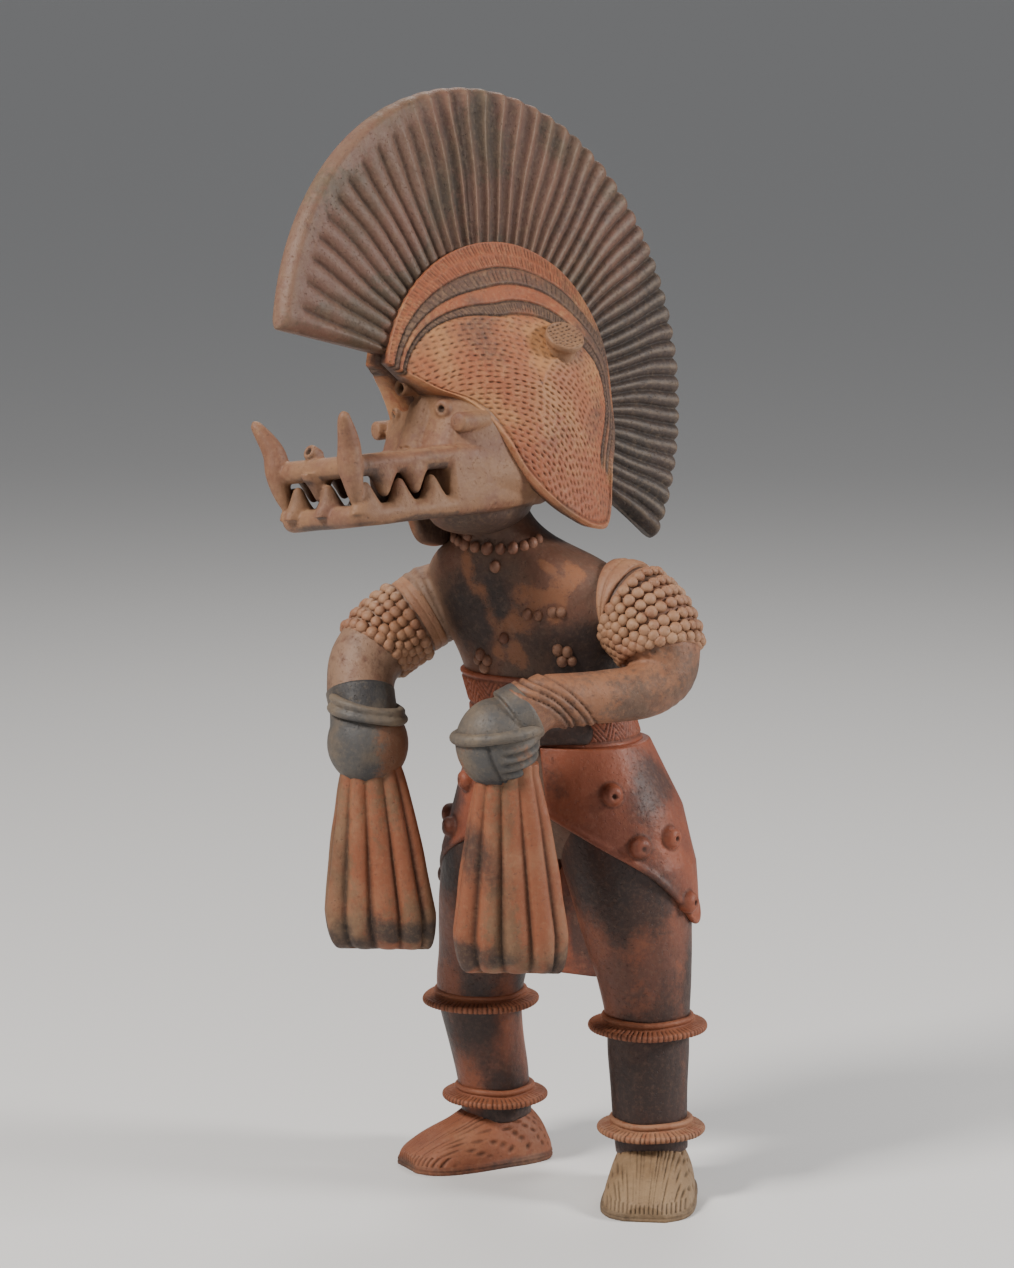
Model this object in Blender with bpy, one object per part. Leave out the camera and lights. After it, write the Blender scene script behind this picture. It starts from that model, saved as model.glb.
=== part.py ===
"""A fired clay dancer in a crocodile mask and fan crest, with a ribbed pouch in each hand."""

from math import cos, hypot, pi, radians, sin, sqrt

import bmesh
import bpy
import numpy as np

# The whole figure
HEIGHT = 0.605
DRAWN_HEIGHT = 605.0
SCALE = HEIGHT / DRAWN_HEIGHT
# Every length below is in millimetres of a figure DRAWN_HEIGHT tall, so each is a share of the height.
# The figure faces -Y, its left hand is on +X, and it stands on Z = 0.
BOX_CENTRE = (-16.0, -32.8)

# Crest
CREST_RADIUS = 141.0
CREST_RISE = 18.0
CREST_BACK = 3.0
CREST_SUNK = 4.0
CREST_FROM = 15.0
CREST_TO = 221.0
CREST_FLUTE_COUNT = 46
FLUTE_SPREAD = (1.35, 1.0, 0.86)
CREST_HALF = 8.0
CREST_ROOT_HALF = 7.0
FLUTE_DEPTH = 2.8
CREST_RIM = 9.0
CREST_SCALLOP = 2.2
CREST_RIM_HALF = 3.5
CREST_RIM_SHARE = 0.8
ROOT_FLUTE_SHARE = 0.6

# Head: its place is the middle of the crest fan
HEAD_AT = (-42.7, -34.0, 448.0)
HEAD_TURN = 21.0
HEAD_ROLL = 9.0

# Hood
HOOD_CENTRE = (-8.0, -5.0)
HOOD_RADIUS = 79.0
HOOD_HALF = 43.0
HOOD_WALL = 7.0
HOOD_TOP_LEAN = 1.0
LEFT_BROW_LEAN = 1.35
RIGHT_BROW_LEAN = 1.7
HOOD_NAPE_LEAN = 2.6
HOOD_ARC = (14.0, 196.0)
HOOD_ARC_COUNT = 12
HOOD_BANDS = (1.0, 0.82, 0.70, 0.58, 0.49)
BAND_STEP = 0.78
BAND_EDGE_SHARE = 0.02
HOOD_INNER_SHARE = 0.25
# Bands are raised above BAND_FROM and flat below it, over a height of BAND_FADE
BAND_FROM = -10.0
BAND_FADE = 20.0
# The flaps are open below LINING_TOP, over a height of LINING_FADE
LINING_TOP = -34.0
LINING_FADE = 16.0
LINING_LEAST = 1.5
LINING_SHARES = (1.0, 0.6)
# Edge of the flap, forward and up from HEAD_AT, from the back of the crest to the brow
LEFT_FLAP_EDGE = (
    (-76.0, -38.0), (-63.0, -58.0), (-60.0, -76.0), (-52.0, -86.0), (-38.0, -86.0), (-24.0, -80.0),
    (-10.0, -71.0), (5.0, -55.0), (17.0, -32.5), (34.0, -11.0), (50.0, -2.0),
)
RIGHT_FLAP_EDGE = (
    (-76.0, -38.0), (-64.0, -56.0), (-50.0, -70.0), (-30.0, -80.0), (-8.0, -86.0), (14.0, -87.0),
    (28.0, -82.0), (35.0, -67.0), (38.0, -46.0), (40.0, -24.0), (50.0, -2.0),
)

# Mask: height, front, back and half width of each level of the head's core
MASK_LEVELS = (
    (-70.0, 46.0, -22.0, 26.0), (-63.0, 54.0, -40.0, 33.0), (-36.0, 55.0, -54.0, 35.5),
    (-14.0, 44.0, -57.0, 35.5), (6.0, 42.0, -56.0, 26.0), (28.0, 24.0, -46.0, 17.0), (48.0, 4.0, -30.0, 9.0),
)
MASK_SIDE_COUNT = 16
MASK_SQUARE = 4.0
# Pegs and pellets of the head: forward, left and up of the base, then radius, length and hollow
EYE_PLACE = (41.0, 18.9, -13.5)
EYE_SIZE = (4.8, 4.0, 2.0)
EYE_TURN_OUT = 0.35
PEG_PLACE = (31.0, 31.5, -21.5)
PEG_SIZE = (5.0, 15.0, 0.3)
PEG_TURN_OUT = 0.18
PLUG_PLACE = (-29.0, 36.0, 12.0)
PLUG_SIZE = (10.5, 11.0, 0.5)
PLUG_LEAN_UP = 0.95
PLUG_LEAN_FORWARD = 0.18
BROW_PLACE = (46.0, 0.0, 0.0)
BROW_SIZE = (4.6, 9.0, 4.0)
NOSTRIL_INSET = 5.0
NOSTRIL_LEFT = -4.0
NOSTRIL_RISE = 6.0
NOSTRIL_LEAN_UP = 0.6
NOSTRIL_SIZE = (3.6, 4.5, 1.5)

# Nose ridge: forward, left, up and radius
NOSE_RIDGE = (
    (35.0, 0.0, 2.0, 6.0), (37.5, 0.0, -10.0, 8.5), (42.5, 0.0, -24.0, 9.5), (49.0, 0.0, -36.0, 10.0),
)

# Snout
SNOUT_ROOT = 30.0
SNOUT_FRONT = 119.0
SNOUT_HALF = 30.0
UPPER_JAW = -39.0
LOWER_JAW = -65.0
JAW_BAR = 5.8
JAW_CORNER = 7.0
JAW_SIDE_COUNT = 8
JAW_PLATE = 5.0
LOWER_PLATE_RISE = 1.0
PLATE_INSET = 6.0
TOOTH_RADIUS = 6.4
TOOTH_FLATNESS = 0.72
TOOTH_SIDE_COUNT = 5
# Share of the length and of the radius at each level of a tooth
TOOTH_LEVELS = ((-0.15, 1.0), (0.45, 0.6), (1.0, 0.2))
UPPER_TOOTH = 14.0
LOWER_TOOTH = 14.0
UPPER_TEETH = (76.4, 97.5)
LOWER_TEETH = (65.3, 87.0, 110.0)
LOWER_FRONT_TEETH = (-18.6, 7.2)
# Tusk: forward of the snout's front, left, up from the upper jaw, and radius
TUSK_LEVELS = (
    (-3.0, 30.0, -21.0, 2.4), (-1.0, 31.0, -11.0, 5.2), (0.0, 31.0, 1.0, 6.2), (0.0, 32.0, 10.0, 6.2),
    (3.0, 35.0, 19.0, 4.6), (7.0, 38.0, 29.0, 2.2),
)
TUSK_SIDE_COUNT = 8

# Body: height, middle across, middle forward, half width and half depth of each level
TORSO_LEVELS = (
    (186.0, -2.0, -3.0, 34.0, 26.0), (206.0, -1.0, -4.0, 54.0, 36.0), (230.0, -4.0, -5.0, 51.0, 36.0),
    (250.0, -8.0, -6.0, 46.0, 34.0), (270.0, -12.0, -7.5, 44.0, 32.5), (292.0, -15.0, -9.5, 47.0, 33.0),
    (312.0, -18.0, -11.0, 54.0, 34.5), (330.0, -21.0, -13.0, 59.5, 34.0), (344.0, -24.0, -16.0, 55.0, 31.0),
    (354.0, -28.0, -20.0, 43.0, 26.5), (362.0, -31.0, -23.0, 29.0, 22.0), (371.0, -34.0, -26.0, 20.5, 19.0),
    (396.0, -38.0, -30.0, 17.5, 18.0),
)
TORSO_SIDE_COUNT = 18
TORSO_SQUARE = 2.3
BELT_TOP = 288.0
BELT_BOTTOM = 250.0
BELT_PROUD = 2.0
BELT_SUNK = 3.0

# Limbs: points of each limb's middle line, with its radius there
LIMB_SIDE_COUNT = 12
RIGHT_ARM = (
    (-56.0, -12.0, 323.0, 20.0), (-74.0, -16.0, 322.0, 22.0), (-89.0, -28.0, 312.0, 21.5),
    (-100.0, -41.0, 301.0, 20.5), (-105.0, -52.0, 289.0, 19.5), (-103.0, -59.0, 277.0, 18.5),
    (-99.0, -63.0, 266.0, 18.0), (-96.0, -66.0, 256.0, 19.0),
)
RIGHT_HAND = (-94.0, -67.0, 249.0)
LEFT_ARM = (
    (20.0, -12.0, 326.0, 20.0), (36.0, -12.0, 328.0, 23.0), (51.0, -14.0, 318.0, 23.5),
    (60.0, -16.0, 304.0, 21.5), (63.0, -21.0, 293.0, 18.0), (57.0, -33.0, 286.0, 15.5),
    (45.0, -49.0, 284.0, 14.5), (31.0, -67.0, 284.0, 14.5), (19.0, -82.0, 283.0, 15.0),
    (9.0, -92.0, 275.0, 17.0),
)
LEFT_HAND = (3.0, -98.0, 263.0)
ARM_HINT = (0.3, 0.9, 0.35)
# The upper arm is this many points of each arm's list, the last of them the elbow
UPPER_ARM_COUNT = 5
ELBOW_SWELL = 1.03
HAND_SIZE = (22.5, 20.0, 24.0)
BALL_SIDE_COUNT = 10
BALL_ROW_COUNT = 6
RIGHT_ROLL_RISE = 19.0
LEFT_ROLL_RISE = 4.0
WRIST_ROLL_OUT = 2.4
WRIST_ROLL_SUNK = 11.2
WRIST_ROLL_DEEP = 8.0
WRIST_ROLL_FLAT = 0.7
ARMLET_ROW_COUNT = 5
ARMLET_BEAD_COUNT = 10
BEAD_PROUD = 3.4
BEAD_GAP_SHARE = 0.45
BEAD_BED = 0.6
ARMLET_SUNK = 5.0
BAND_WIDTH_SHARE = 0.12
BAND_GAP_SHARE = 0.02
BAND_PROUD = 1.6
RIGHT_ARMLET_SHARES = (0.51, 0.88)
LEFT_ARMLET_SHARES = (0.30, 0.82)

RIGHT_LEG = (
    (-27.0, -5.0, 214.0, 34.0), (-38.0, -7.0, 190.0, 34.5), (-49.0, -5.0, 156.0, 31.0),
    (-57.0, -1.0, 122.0, 26.0), (-61.0, 1.0, 98.0, 24.0), (-60.0, 4.0, 78.0, 22.0),
    (-57.0, 9.0, 50.0, 20.5), (-55.0, 11.0, 24.0, 19.5),
)
LEFT_LEG = (
    (25.0, -5.0, 214.0, 35.0), (33.0, -5.0, 188.0, 35.5), (40.5, -6.0, 154.0, 31.5),
    (47.0, -7.5, 120.0, 26.0), (49.0, -8.0, 98.0, 23.0), (50.0, -9.0, 78.0, 22.5),
    (52.0, -10.5, 50.0, 21.0), (54.0, -11.5, 24.0, 20.0),
)
KNEE_RING_HEIGHT = 94.0
KNEE_RING_RADIUS = 32.5
ANKLE_RING_HEIGHT = 37.0
ANKLE_RING_RADIUS = 29.5
RING_EDGE = 4.0
RING_ROOT = 13.0
RING_SUNK = 5.0
RING_SHOULDER = 8.0

# Feet: distance along the foot from the ankle, half width and height of each station
FOOT_STATIONS = (
    (-29.0, 11.0, 12.0), (-22.0, 19.0, 25.0), (-6.0, 23.0, 36.0), (10.0, 24.0, 34.0),
    (27.0, 24.5, 25.0), (42.0, 23.0, 18.0), (52.0, 18.0, 12.5), (57.5, 10.0, 9.0),
)
RIGHT_FOOT_TURN = -35.0
LEFT_FOOT_TURN = 22.0
SOLE_OUT = 1.6
SOLE_THICK = 3.6
SOLE_STEP = 0.8
INSTEP_ARC = (35.0, 65.0, 90.0, 115.0, 145.0)

# Skirt: turn about the hips from the front, and the height of the hem there
HEM = (
    (8.0, 214.0), (30.0, 200.0), (55.0, 183.0), (80.0, 163.0), (98.0, 151.0), (130.0, 162.0),
    (180.0, 176.0),
)
SKIRT_STEP_COUNT = 23
SKIRT_TOP = 251.0
HIP_LEVELS = (
    (140.0, -1.0, -4.0, 73.5, 41.0), (185.0, -2.0, -5.0, 71.5, 42.5), (215.0, -2.0, -5.0, 62.5, 41.5),
    (238.0, -5.0, -5.5, 53.0, 38.5), (255.0, -8.0, -6.0, 47.0, 35.0),
)
SKIRT_PROUD = 2.6
SKIRT_WALL = 14.0
SKIRT_STUDS = ((45.0, 0.39), (53.0, 0.78), (77.0, 0.57), (86.0, 0.92))
STUD_SIZE = (5.6, 3.6, 2.4)
STUD_REACH = 10.0
LOIN_PANEL = (
    (-4.0, 2.0, 204.0, 16.0), (-4.0, 2.0, 160.0, 24.0), (-5.0, 2.0, 122.0, 28.0),
    (-5.0, 2.0, 115.0, 20.0),
)
LOIN_THICK = 4.5

# Pouches: middle, half width and half depth of the neck and of the widest place
POUCH_RIB_COUNT = 5
RIGHT_POUCH = ((-91.0, -68.0, 236.0), (-83.5, -69.5, 136.0))
LEFT_POUCH = ((8.5, -96.0, 246.0), (9.0, -92.0, 138.0))
POUCH_HALF_WIDTH = (17.0, 31.5)
POUCH_HALF_DEPTH = (10.0, 15.0)
POUCH_TURN = 24.0
RIB_DEPTH = 3.2
POUCH_SQUARE = 2.6
POUCH_WIDEST = 0.8
POUCH_FLARE = 0.85
POUCH_FOOT_SHARE = 0.22
POUCH_FOOT_ROUND = 2.4
POUCH_FOOT_NARROW = 0.14
RIB_DEPTH_AT_NECK = 0.3
POUCH_LEVELS = (0.0, 0.14, 0.45, 0.80, 0.93, 1.0)

# Pellets on the chest: place on the torso as a turn from the front and a height
NECKLACE_BEAD_COUNT = 9
NECKLACE_HEIGHT = 363.0
NECKLACE_REACH = 64.0
NECKLACE_SAG = 8.5
NECKLACE_LIFT = 4.0
NECKLACE_PROUD = 2.0
PELLET_RADIUS = 3.3
PELLET_PROUD = 0.6
PELLET_SIDE_COUNT = 5
PELLET_ROW_COUNT = 3
CHEST_PELLETS = (
    (1.0, 349.0), (13.0, 324.0), (19.0, 324.0), (28.0, 326.0), (34.0, 326.0), (-3.0, 310.0),
    (-24.0, 299.0), (-20.0, 295.0), (-27.0, 294.0), (30.0, 304.0), (36.0, 304.0), (33.0, 298.0),
)

# Pegs and studs
BUTTON_SIDE_COUNT = 7
PLUG_SIDE_COUNT = 10
BUTTON_TAPER = 0.9
BUTTON_HOLE = 0.3

# Points closer than this become one, and faces that meet at a smaller angle than this become one
CLOSE_ENOUGH = 0.1
FLAT_ENOUGH = 4.2

CLAY_COLOUR = (0.36, 0.17, 0.10)
CLAY_ROUGHNESS = 0.55


def clear_scene():
    for thing in list(bpy.data.objects):
        bpy.data.objects.remove(thing, do_unlink=True)


def clay_material():
    material = bpy.data.materials.new("terracotta")
    material.use_nodes = True
    shader = material.node_tree.nodes["Principled BSDF"]
    shader.inputs["Base Color"].default_value = (*CLAY_COLOUR, 1.0)
    shader.inputs["Roughness"].default_value = CLAY_ROUGHNESS
    shader.inputs["Metallic"].default_value = 0.0
    material.diffuse_color = (*CLAY_COLOUR, 1.0)
    return material


def unit(vector):
    vector = np.asarray(vector, float)
    return vector / np.linalg.norm(vector)


# The head's own directions
TURN = radians(HEAD_TURN)
ROLL = radians(HEAD_ROLL)
FORWARD = np.array((-sin(TURN), -cos(TURN), 0.0))
LEVEL_LEFT = np.array((cos(TURN), -sin(TURN), 0.0))
UP = np.array((0.0, 0.0, 1.0)) * cos(ROLL) - LEVEL_LEFT * sin(ROLL)
LEFT = LEVEL_LEFT * cos(ROLL) + np.array((0.0, 0.0, 1.0)) * sin(ROLL)


def head_point(forward, left, up):
    return np.array(HEAD_AT) + forward * FORWARD + left * LEFT + up * UP


def paired_point(place, side):
    """A place on one side of the head, given for the left side."""
    forward, left, up = place
    return head_point(forward, side * left, up)


def between(stations, at):
    """Values read from a list of stations at one place, by straight lines between them."""
    table = np.array(sorted(stations), float)
    return [np.interp(at, table[:, 0], table[:, k]) for k in range(1, table.shape[1])]


def make_solid(name, points, faces, parts):
    """One closed clay form, with its faces turned outwards."""
    middle = np.array((*BOX_CENTRE, 0.0))
    placed = (np.asarray(points, float) - middle) * SCALE
    mesh = bpy.data.meshes.new(name)
    mesh.from_pydata([tuple(p) for p in placed], [], faces)
    shape = bmesh.new()
    shape.from_mesh(mesh)
    bmesh.ops.recalc_face_normals(shape, faces=shape.faces)
    shape.to_mesh(mesh)
    shape.free()
    form = bpy.data.objects.new(name, mesh)
    parts.append(form)
    return form


def loft(name, rings, parts):
    """A skin over closed rings of equal count, with a fan over each end."""
    count = len(rings[0])
    points = [p for ring in rings for p in ring]
    points.append(np.mean(rings[0], axis=0))
    points.append(np.mean(rings[-1], axis=0))
    first = len(rings) * count
    last = first + 1
    faces = []
    for r in range(len(rings) - 1):
        for k in range(count):
            n = (k + 1) % count
            faces.append((r * count + k, r * count + n, (r + 1) * count + n, (r + 1) * count + k))
    end = (len(rings) - 1) * count
    for k in range(count):
        n = (k + 1) % count
        faces.append((first, n, k))
        faces.append((last, end + k, end + n))
    return make_solid(name, points, faces, parts)


def ellipse(centre, side, across, width, depth, count, power=2.0):
    """Points of an ellipse, or of a squarer form when power is over 2."""
    ring = []
    for k in range(count):
        c, s = cos(2 * pi * k / count), sin(2 * pi * k / count)
        reach = (abs(c) ** power + abs(s) ** power) ** (-1.0 / power)
        ring.append(np.asarray(centre) + reach * (c * width * side + s * depth * across))
    return ring


def limb_frames(path, hint):
    """The direction, side and cross direction at each point of a middle line."""
    path = np.asarray(path, float)
    frames = []
    for k in range(len(path)):
        along = unit(path[min(k + 1, len(path) - 1)] - path[max(k - 1, 0)])
        side = unit(np.cross(along, hint))
        frames.append((along, side, np.cross(side, along)))
    return frames


def tube(name, stations, hint, sides, parts, flat=1.0):
    """A rounded limb through stations of x, y, z and radius."""
    stations = np.asarray(stations, float)
    frames = limb_frames(stations[:, :3], hint)
    rings = []
    for (x, y, z, radius), (_, side, cross) in zip(stations, frames):
        rings.append(ellipse((x, y, z), side, cross, radius, radius * flat, sides))
    return loft(name, rings, parts)


def ball(name, centre, axes, sides, rows, parts):
    """An egg whose three half axes are given as vectors."""
    side, across, up = (np.asarray(axis, float) for axis in axes)
    rings = []
    for r in range(1, rows):
        height, girth = cos(pi * r / rows), sin(pi * r / rows)
        rings.append(ellipse(np.asarray(centre) + height * up, side, across, girth, girth, sides))
    form_points = [p for ring in rings for p in ring]
    top = len(form_points)
    bottom = top + 1
    form_points += [np.asarray(centre) + up, np.asarray(centre) - up]
    faces = []
    for r in range(rows - 2):
        for k in range(sides):
            n = (k + 1) % sides
            faces.append((r * sides + k, r * sides + n, (r + 1) * sides + n, (r + 1) * sides + k))
    end = (rows - 2) * sides
    for k in range(sides):
        n = (k + 1) % sides
        faces.append((top, n, k))
        faces.append((bottom, end + k, end + n))
    return make_solid(name, form_points, faces, parts)


def button(name, base, along, size, sides, parts):
    """A short round peg of a radius and length, with a hollow in its face."""
    radius, length, dimple = size
    along = unit(along)
    side = unit(np.cross(along, (0.3, 0.2, 1.0)))
    cross = np.cross(along, side)
    rings = [ellipse(np.asarray(base) + s * along, side, cross, r, r, sides)
             for s, r in ((-length, radius), (length, radius * BUTTON_TAPER))]
    pierced = radius * BUTTON_HOLE
    rings.append(ellipse(np.asarray(base) + (length - dimple) * along, side, cross, pierced, pierced, sides))
    return loft(name, rings, parts)


def flute_angles():
    """The grooves of the crest, wide apart at the brow and close at the nape."""
    place = (np.arange(CREST_FLUTE_COUNT) + 0.5) / CREST_FLUTE_COUNT
    gaps = np.interp(place, (0.0, 0.45, 1.0), FLUTE_SPREAD)
    turns = np.concatenate(([0.0], np.cumsum(gaps)))
    return radians(CREST_FROM) + turns / turns[-1] * radians(CREST_TO - CREST_FROM)


def hood_reach(turn):
    """How far the hood's arc is from the middle of the crest, in one direction."""
    ahead, above = HOOD_CENTRE[0] + CREST_BACK, HOOD_CENTRE[1]
    along = ahead * cos(turn) + above * sin(turn)
    return along + sqrt(along ** 2 - ahead ** 2 - above ** 2 + HOOD_RADIUS ** 2)


def crest(parts):
    grooves = flute_angles()
    columns = []
    for k, groove in enumerate(grooves):
        columns.append((groove, 0.0))
        if k + 1 < len(grooves):
            columns.append(((groove + grooves[k + 1]) / 2, 1.0))
    rings = []
    for k, (turn, ridge) in enumerate(columns):
        outer = CREST_RADIUS + CREST_RISE * sin(turn) ** 2 - CREST_SCALLOP * (1 - ridge)
        if k == 0:
            outer -= CREST_RIM
        wide = CREST_HALF - FLUTE_DEPTH * (1 - ridge)
        root = CREST_ROOT_HALF - FLUTE_DEPTH * ROOT_FLUTE_SHARE * (1 - ridge)
        shoulder = outer - CREST_RIM * CREST_RIM_SHARE
        rows = ((hood_reach(turn) - CREST_SUNK, root), (shoulder, wide), (outer, CREST_RIM_HALF))
        ring = [head_point(r * cos(turn) - CREST_BACK, half, r * sin(turn)) for r, half in rows]
        ring += [head_point(r * cos(turn) - CREST_BACK, -half, r * sin(turn)) for r, half in reversed(rows)]
        rings.append(ring)
    return loft("crest", rings, parts)


def hood_half(forward, up, side):
    """How far the hood stands out from the head's middle plane."""
    ahead = forward - HOOD_CENTRE[0]
    above = up - HOOD_CENTRE[1]
    reach = hypot(ahead, max(above, 0.0))
    brow = LEFT_BROW_LEAN if side > 0 else RIGHT_BROW_LEAN
    level = brow if ahead > 0 else HOOD_NAPE_LEAN
    flat = (ahead / reach) ** 2 if reach > 0 else 1.0
    lean = HOOD_TOP_LEAN + (level - HOOD_TOP_LEAN) * (flat if above > 0 else 1.0)
    share = min(reach / HOOD_RADIUS, 1.0)
    return CREST_HALF + (HOOD_HALF - CREST_HALF) * (1 - share ** lean)


def hood_outline(side):
    """The hood's edge, forward and up: the crest's arc, then the flap, then the brow."""
    middle = np.array(HOOD_CENTRE)
    turns = np.radians(np.linspace(*HOOD_ARC, HOOD_ARC_COUNT))
    arc = [middle + HOOD_RADIUS * np.array((cos(a), sin(a))) for a in turns]
    flap = LEFT_FLAP_EDGE if side > 0 else RIGHT_FLAP_EDGE
    return np.array(list(arc) + [np.array(p) for p in flap])


def hood(side, name, parts):
    """One side of the hood: terraces under the crest, then a smooth flap with an open underside."""
    middle = np.array(HOOD_CENTRE)
    edge = hood_outline(side)
    rings = []
    rows = []
    for k, share in enumerate(HOOD_BANDS):
        rows.append((share, k))
        if k:
            rows.append((share - BAND_EDGE_SHARE, k + 1))
    rows += [(HOOD_INNER_SHARE, len(HOOD_BANDS))]
    for share, step in rows:
        ring = []
        for point in edge:
            forward, up = middle + (point - middle) * share
            stepped = max(0.0, min(1.0, (up - BAND_FROM) / BAND_FADE))
            half = hood_half(forward, up, side) + BAND_STEP * (step - 1) * stepped
            ring.append(head_point(forward, side * half, up))
        rings.append(ring)
    rings.reverse()
    for share in LINING_SHARES:
        ring = []
        for point in edge:
            forward, up = middle + (point - middle) * share
            hollow = max(0.0, min(1.0, (LINING_TOP - up) / LINING_FADE))
            half = max(LINING_LEAST, (hood_half(forward, up, side) - HOOD_WALL) * hollow)
            ring.append(head_point(forward, side * half, up))
        rings.append(ring)
    return loft(name, rings, parts)


def head_core(parts):
    rings = []
    for up, front, back, half in MASK_LEVELS:
        centre = head_point((front + back) / 2, 0.0, up)
        rings.append(ellipse(centre, FORWARD, LEFT, (front - back) / 2, half, MASK_SIDE_COUNT, MASK_SQUARE))
    return loft("head_core", rings, parts)


def jaw(name, level, plate_top, parts):
    """A flat plate with a rounded bar round its sides and front."""
    front, half, corner = SNOUT_FRONT - JAW_BAR / 2, SNOUT_HALF, JAW_CORNER
    route = [(SNOUT_ROOT, half), (front - corner, half), (front - corner * 0.3, half - corner * 0.3),
             (front, half - corner)]
    route += [(f, -w) for f, w in reversed(route)]
    path = np.array([head_point(f, w, level) for f, w in route])
    rings = []
    for (_, side, cross), point in zip(limb_frames(path, UP), path):
        rings.append(ellipse(point, side, cross, JAW_BAR, JAW_BAR, JAW_SIDE_COUNT))
    loft(name + "_bar", rings, parts)
    plate = []
    for f in (SNOUT_ROOT - PLATE_INSET, front - corner, front):
        w = half if f < front else half - corner
        corners = ((w, plate_top), (-w, plate_top), (-w, plate_top - JAW_PLATE), (w, plate_top - JAW_PLATE))
        plate.append([head_point(f, a, u) for a, u in corners])
    loft(name + "_plate", plate, parts)


def tooth(name, forward, left, root, length, parts):
    """A blunt cone that grows up or down from a jaw."""
    rings = []
    for rise, girth in TOOTH_LEVELS:
        centre = head_point(forward, left, root + rise * length)
        wide = TOOTH_RADIUS * girth
        rings.append(ellipse(centre, FORWARD, LEFT, wide, wide * TOOTH_FLATNESS, TOOTH_SIDE_COUNT))
    loft(name, rings, parts)


def snout(parts):
    jaw("upper_jaw", UPPER_JAW, UPPER_JAW + JAW_BAR, parts)
    jaw("lower_jaw", LOWER_JAW, LOWER_JAW + LOWER_PLATE_RISE, parts)
    for side in (1, -1):
        for forward in UPPER_TEETH:
            tooth("upper_tooth", forward, side * SNOUT_HALF, UPPER_JAW - JAW_BAR, -UPPER_TOOTH, parts)
        for forward in LOWER_TEETH:
            tooth("lower_tooth", forward, side * SNOUT_HALF, LOWER_JAW + JAW_BAR, LOWER_TOOTH, parts)
        stations = [(*head_point(SNOUT_FRONT + f, side * w, UPPER_JAW + u), r) for f, w, u, r in TUSK_LEVELS]
        tube("tusk", stations, LEFT, TUSK_SIDE_COUNT, parts)
    front = SNOUT_FRONT - JAW_BAR / 2
    tooth("upper_tooth", front, 0.0, UPPER_JAW - JAW_BAR, -UPPER_TOOTH, parts)
    for left in LOWER_FRONT_TEETH:
        tooth("lower_tooth", front, left, LOWER_JAW + JAW_BAR, LOWER_TOOTH, parts)
    nostril = head_point(SNOUT_FRONT - NOSTRIL_INSET, NOSTRIL_LEFT, UPPER_JAW + NOSTRIL_RISE)
    button("nostril", nostril, FORWARD + NOSTRIL_LEAN_UP * UP, NOSTRIL_SIZE, BUTTON_SIDE_COUNT, parts)
    ridge = [(*head_point(f, w, u), r) for f, w, u, r in NOSE_RIDGE]
    tube("nose_ridge", ridge, LEFT, TUSK_SIDE_COUNT, parts)


def face_pellets(parts):
    for side in (1, -1):
        gaze = FORWARD + EYE_TURN_OUT * side * LEFT
        button("eye", paired_point(EYE_PLACE, side), gaze, EYE_SIZE, BUTTON_SIDE_COUNT, parts)
        ahead = FORWARD + PEG_TURN_OUT * side * LEFT
        button("peg", paired_point(PEG_PLACE, side), ahead, PEG_SIZE, BUTTON_SIDE_COUNT, parts)
        out = side * LEFT + PLUG_LEAN_UP * UP + PLUG_LEAN_FORWARD * FORWARD
        button("plug", paired_point(PLUG_PLACE, side), out, PLUG_SIZE, PLUG_SIDE_COUNT, parts)
    button("brow_tube", head_point(*BROW_PLACE), FORWARD, BROW_SIZE, BUTTON_SIDE_COUNT, parts)


def torso(parts):
    side, across = np.array((1.0, 0.0, 0.0)), np.array((0.0, 1.0, 0.0))
    rings = []
    for z, x, y, a, b in TORSO_LEVELS:
        rings.append(ellipse((x, y, z), side, across, a, b, TORSO_SIDE_COUNT, TORSO_SQUARE))
    form = loft("figure", rings, parts)
    rings = []
    out, sunk = BELT_PROUD, -BELT_SUNK
    for height, proud in ((BELT_BOTTOM, sunk), (BELT_BOTTOM, out), (BELT_TOP, out), (BELT_TOP, sunk)):
        x, y, a, b = between(TORSO_LEVELS, height)
        wide, deep = a + proud, b + proud
        rings.append(ellipse((x, y, height), side, across, wide, deep, TORSO_SIDE_COUNT, TORSO_SQUARE))
    loft("belt", rings, parts)
    return form


def torso_surface(turn, height, proud=0.0):
    """A point on the torso, at a turn from straight ahead towards the figure's left."""
    x, y, a, b = between(TORSO_LEVELS, height)
    c, s = sin(radians(turn)), -cos(radians(turn))
    reach = (abs(c) ** TORSO_SQUARE + abs(s) ** TORSO_SQUARE) ** (-1 / TORSO_SQUARE)
    return np.array((x + reach * c * (a + proud), y + reach * s * (b + proud), height))


def pellet(name, centre, parts, radius=PELLET_RADIUS):
    axes = (np.array((radius, 0, 0)), np.array((0, radius, 0)), np.array((0, 0, radius)))
    ball(name, centre, axes, PELLET_SIDE_COUNT, PELLET_ROW_COUNT, parts)


def chest_pellets(parts):
    for k in range(NECKLACE_BEAD_COUNT):
        turn = radians(NECKLACE_REACH) * (2 * k / (NECKLACE_BEAD_COUNT - 1) - 1)
        height = NECKLACE_HEIGHT + NECKLACE_LIFT - NECKLACE_SAG * cos(turn)
        x, y, a, b = between(TORSO_LEVELS, height)
        wide, deep = a + NECKLACE_PROUD, b + NECKLACE_PROUD
        pellet("necklace", (x + sin(turn) * wide, y - cos(turn) * deep, height), parts)
    for turn, height in CHEST_PELLETS:
        pellet("chest_pellet", torso_surface(turn, height, PELLET_PROUD), parts)


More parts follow.
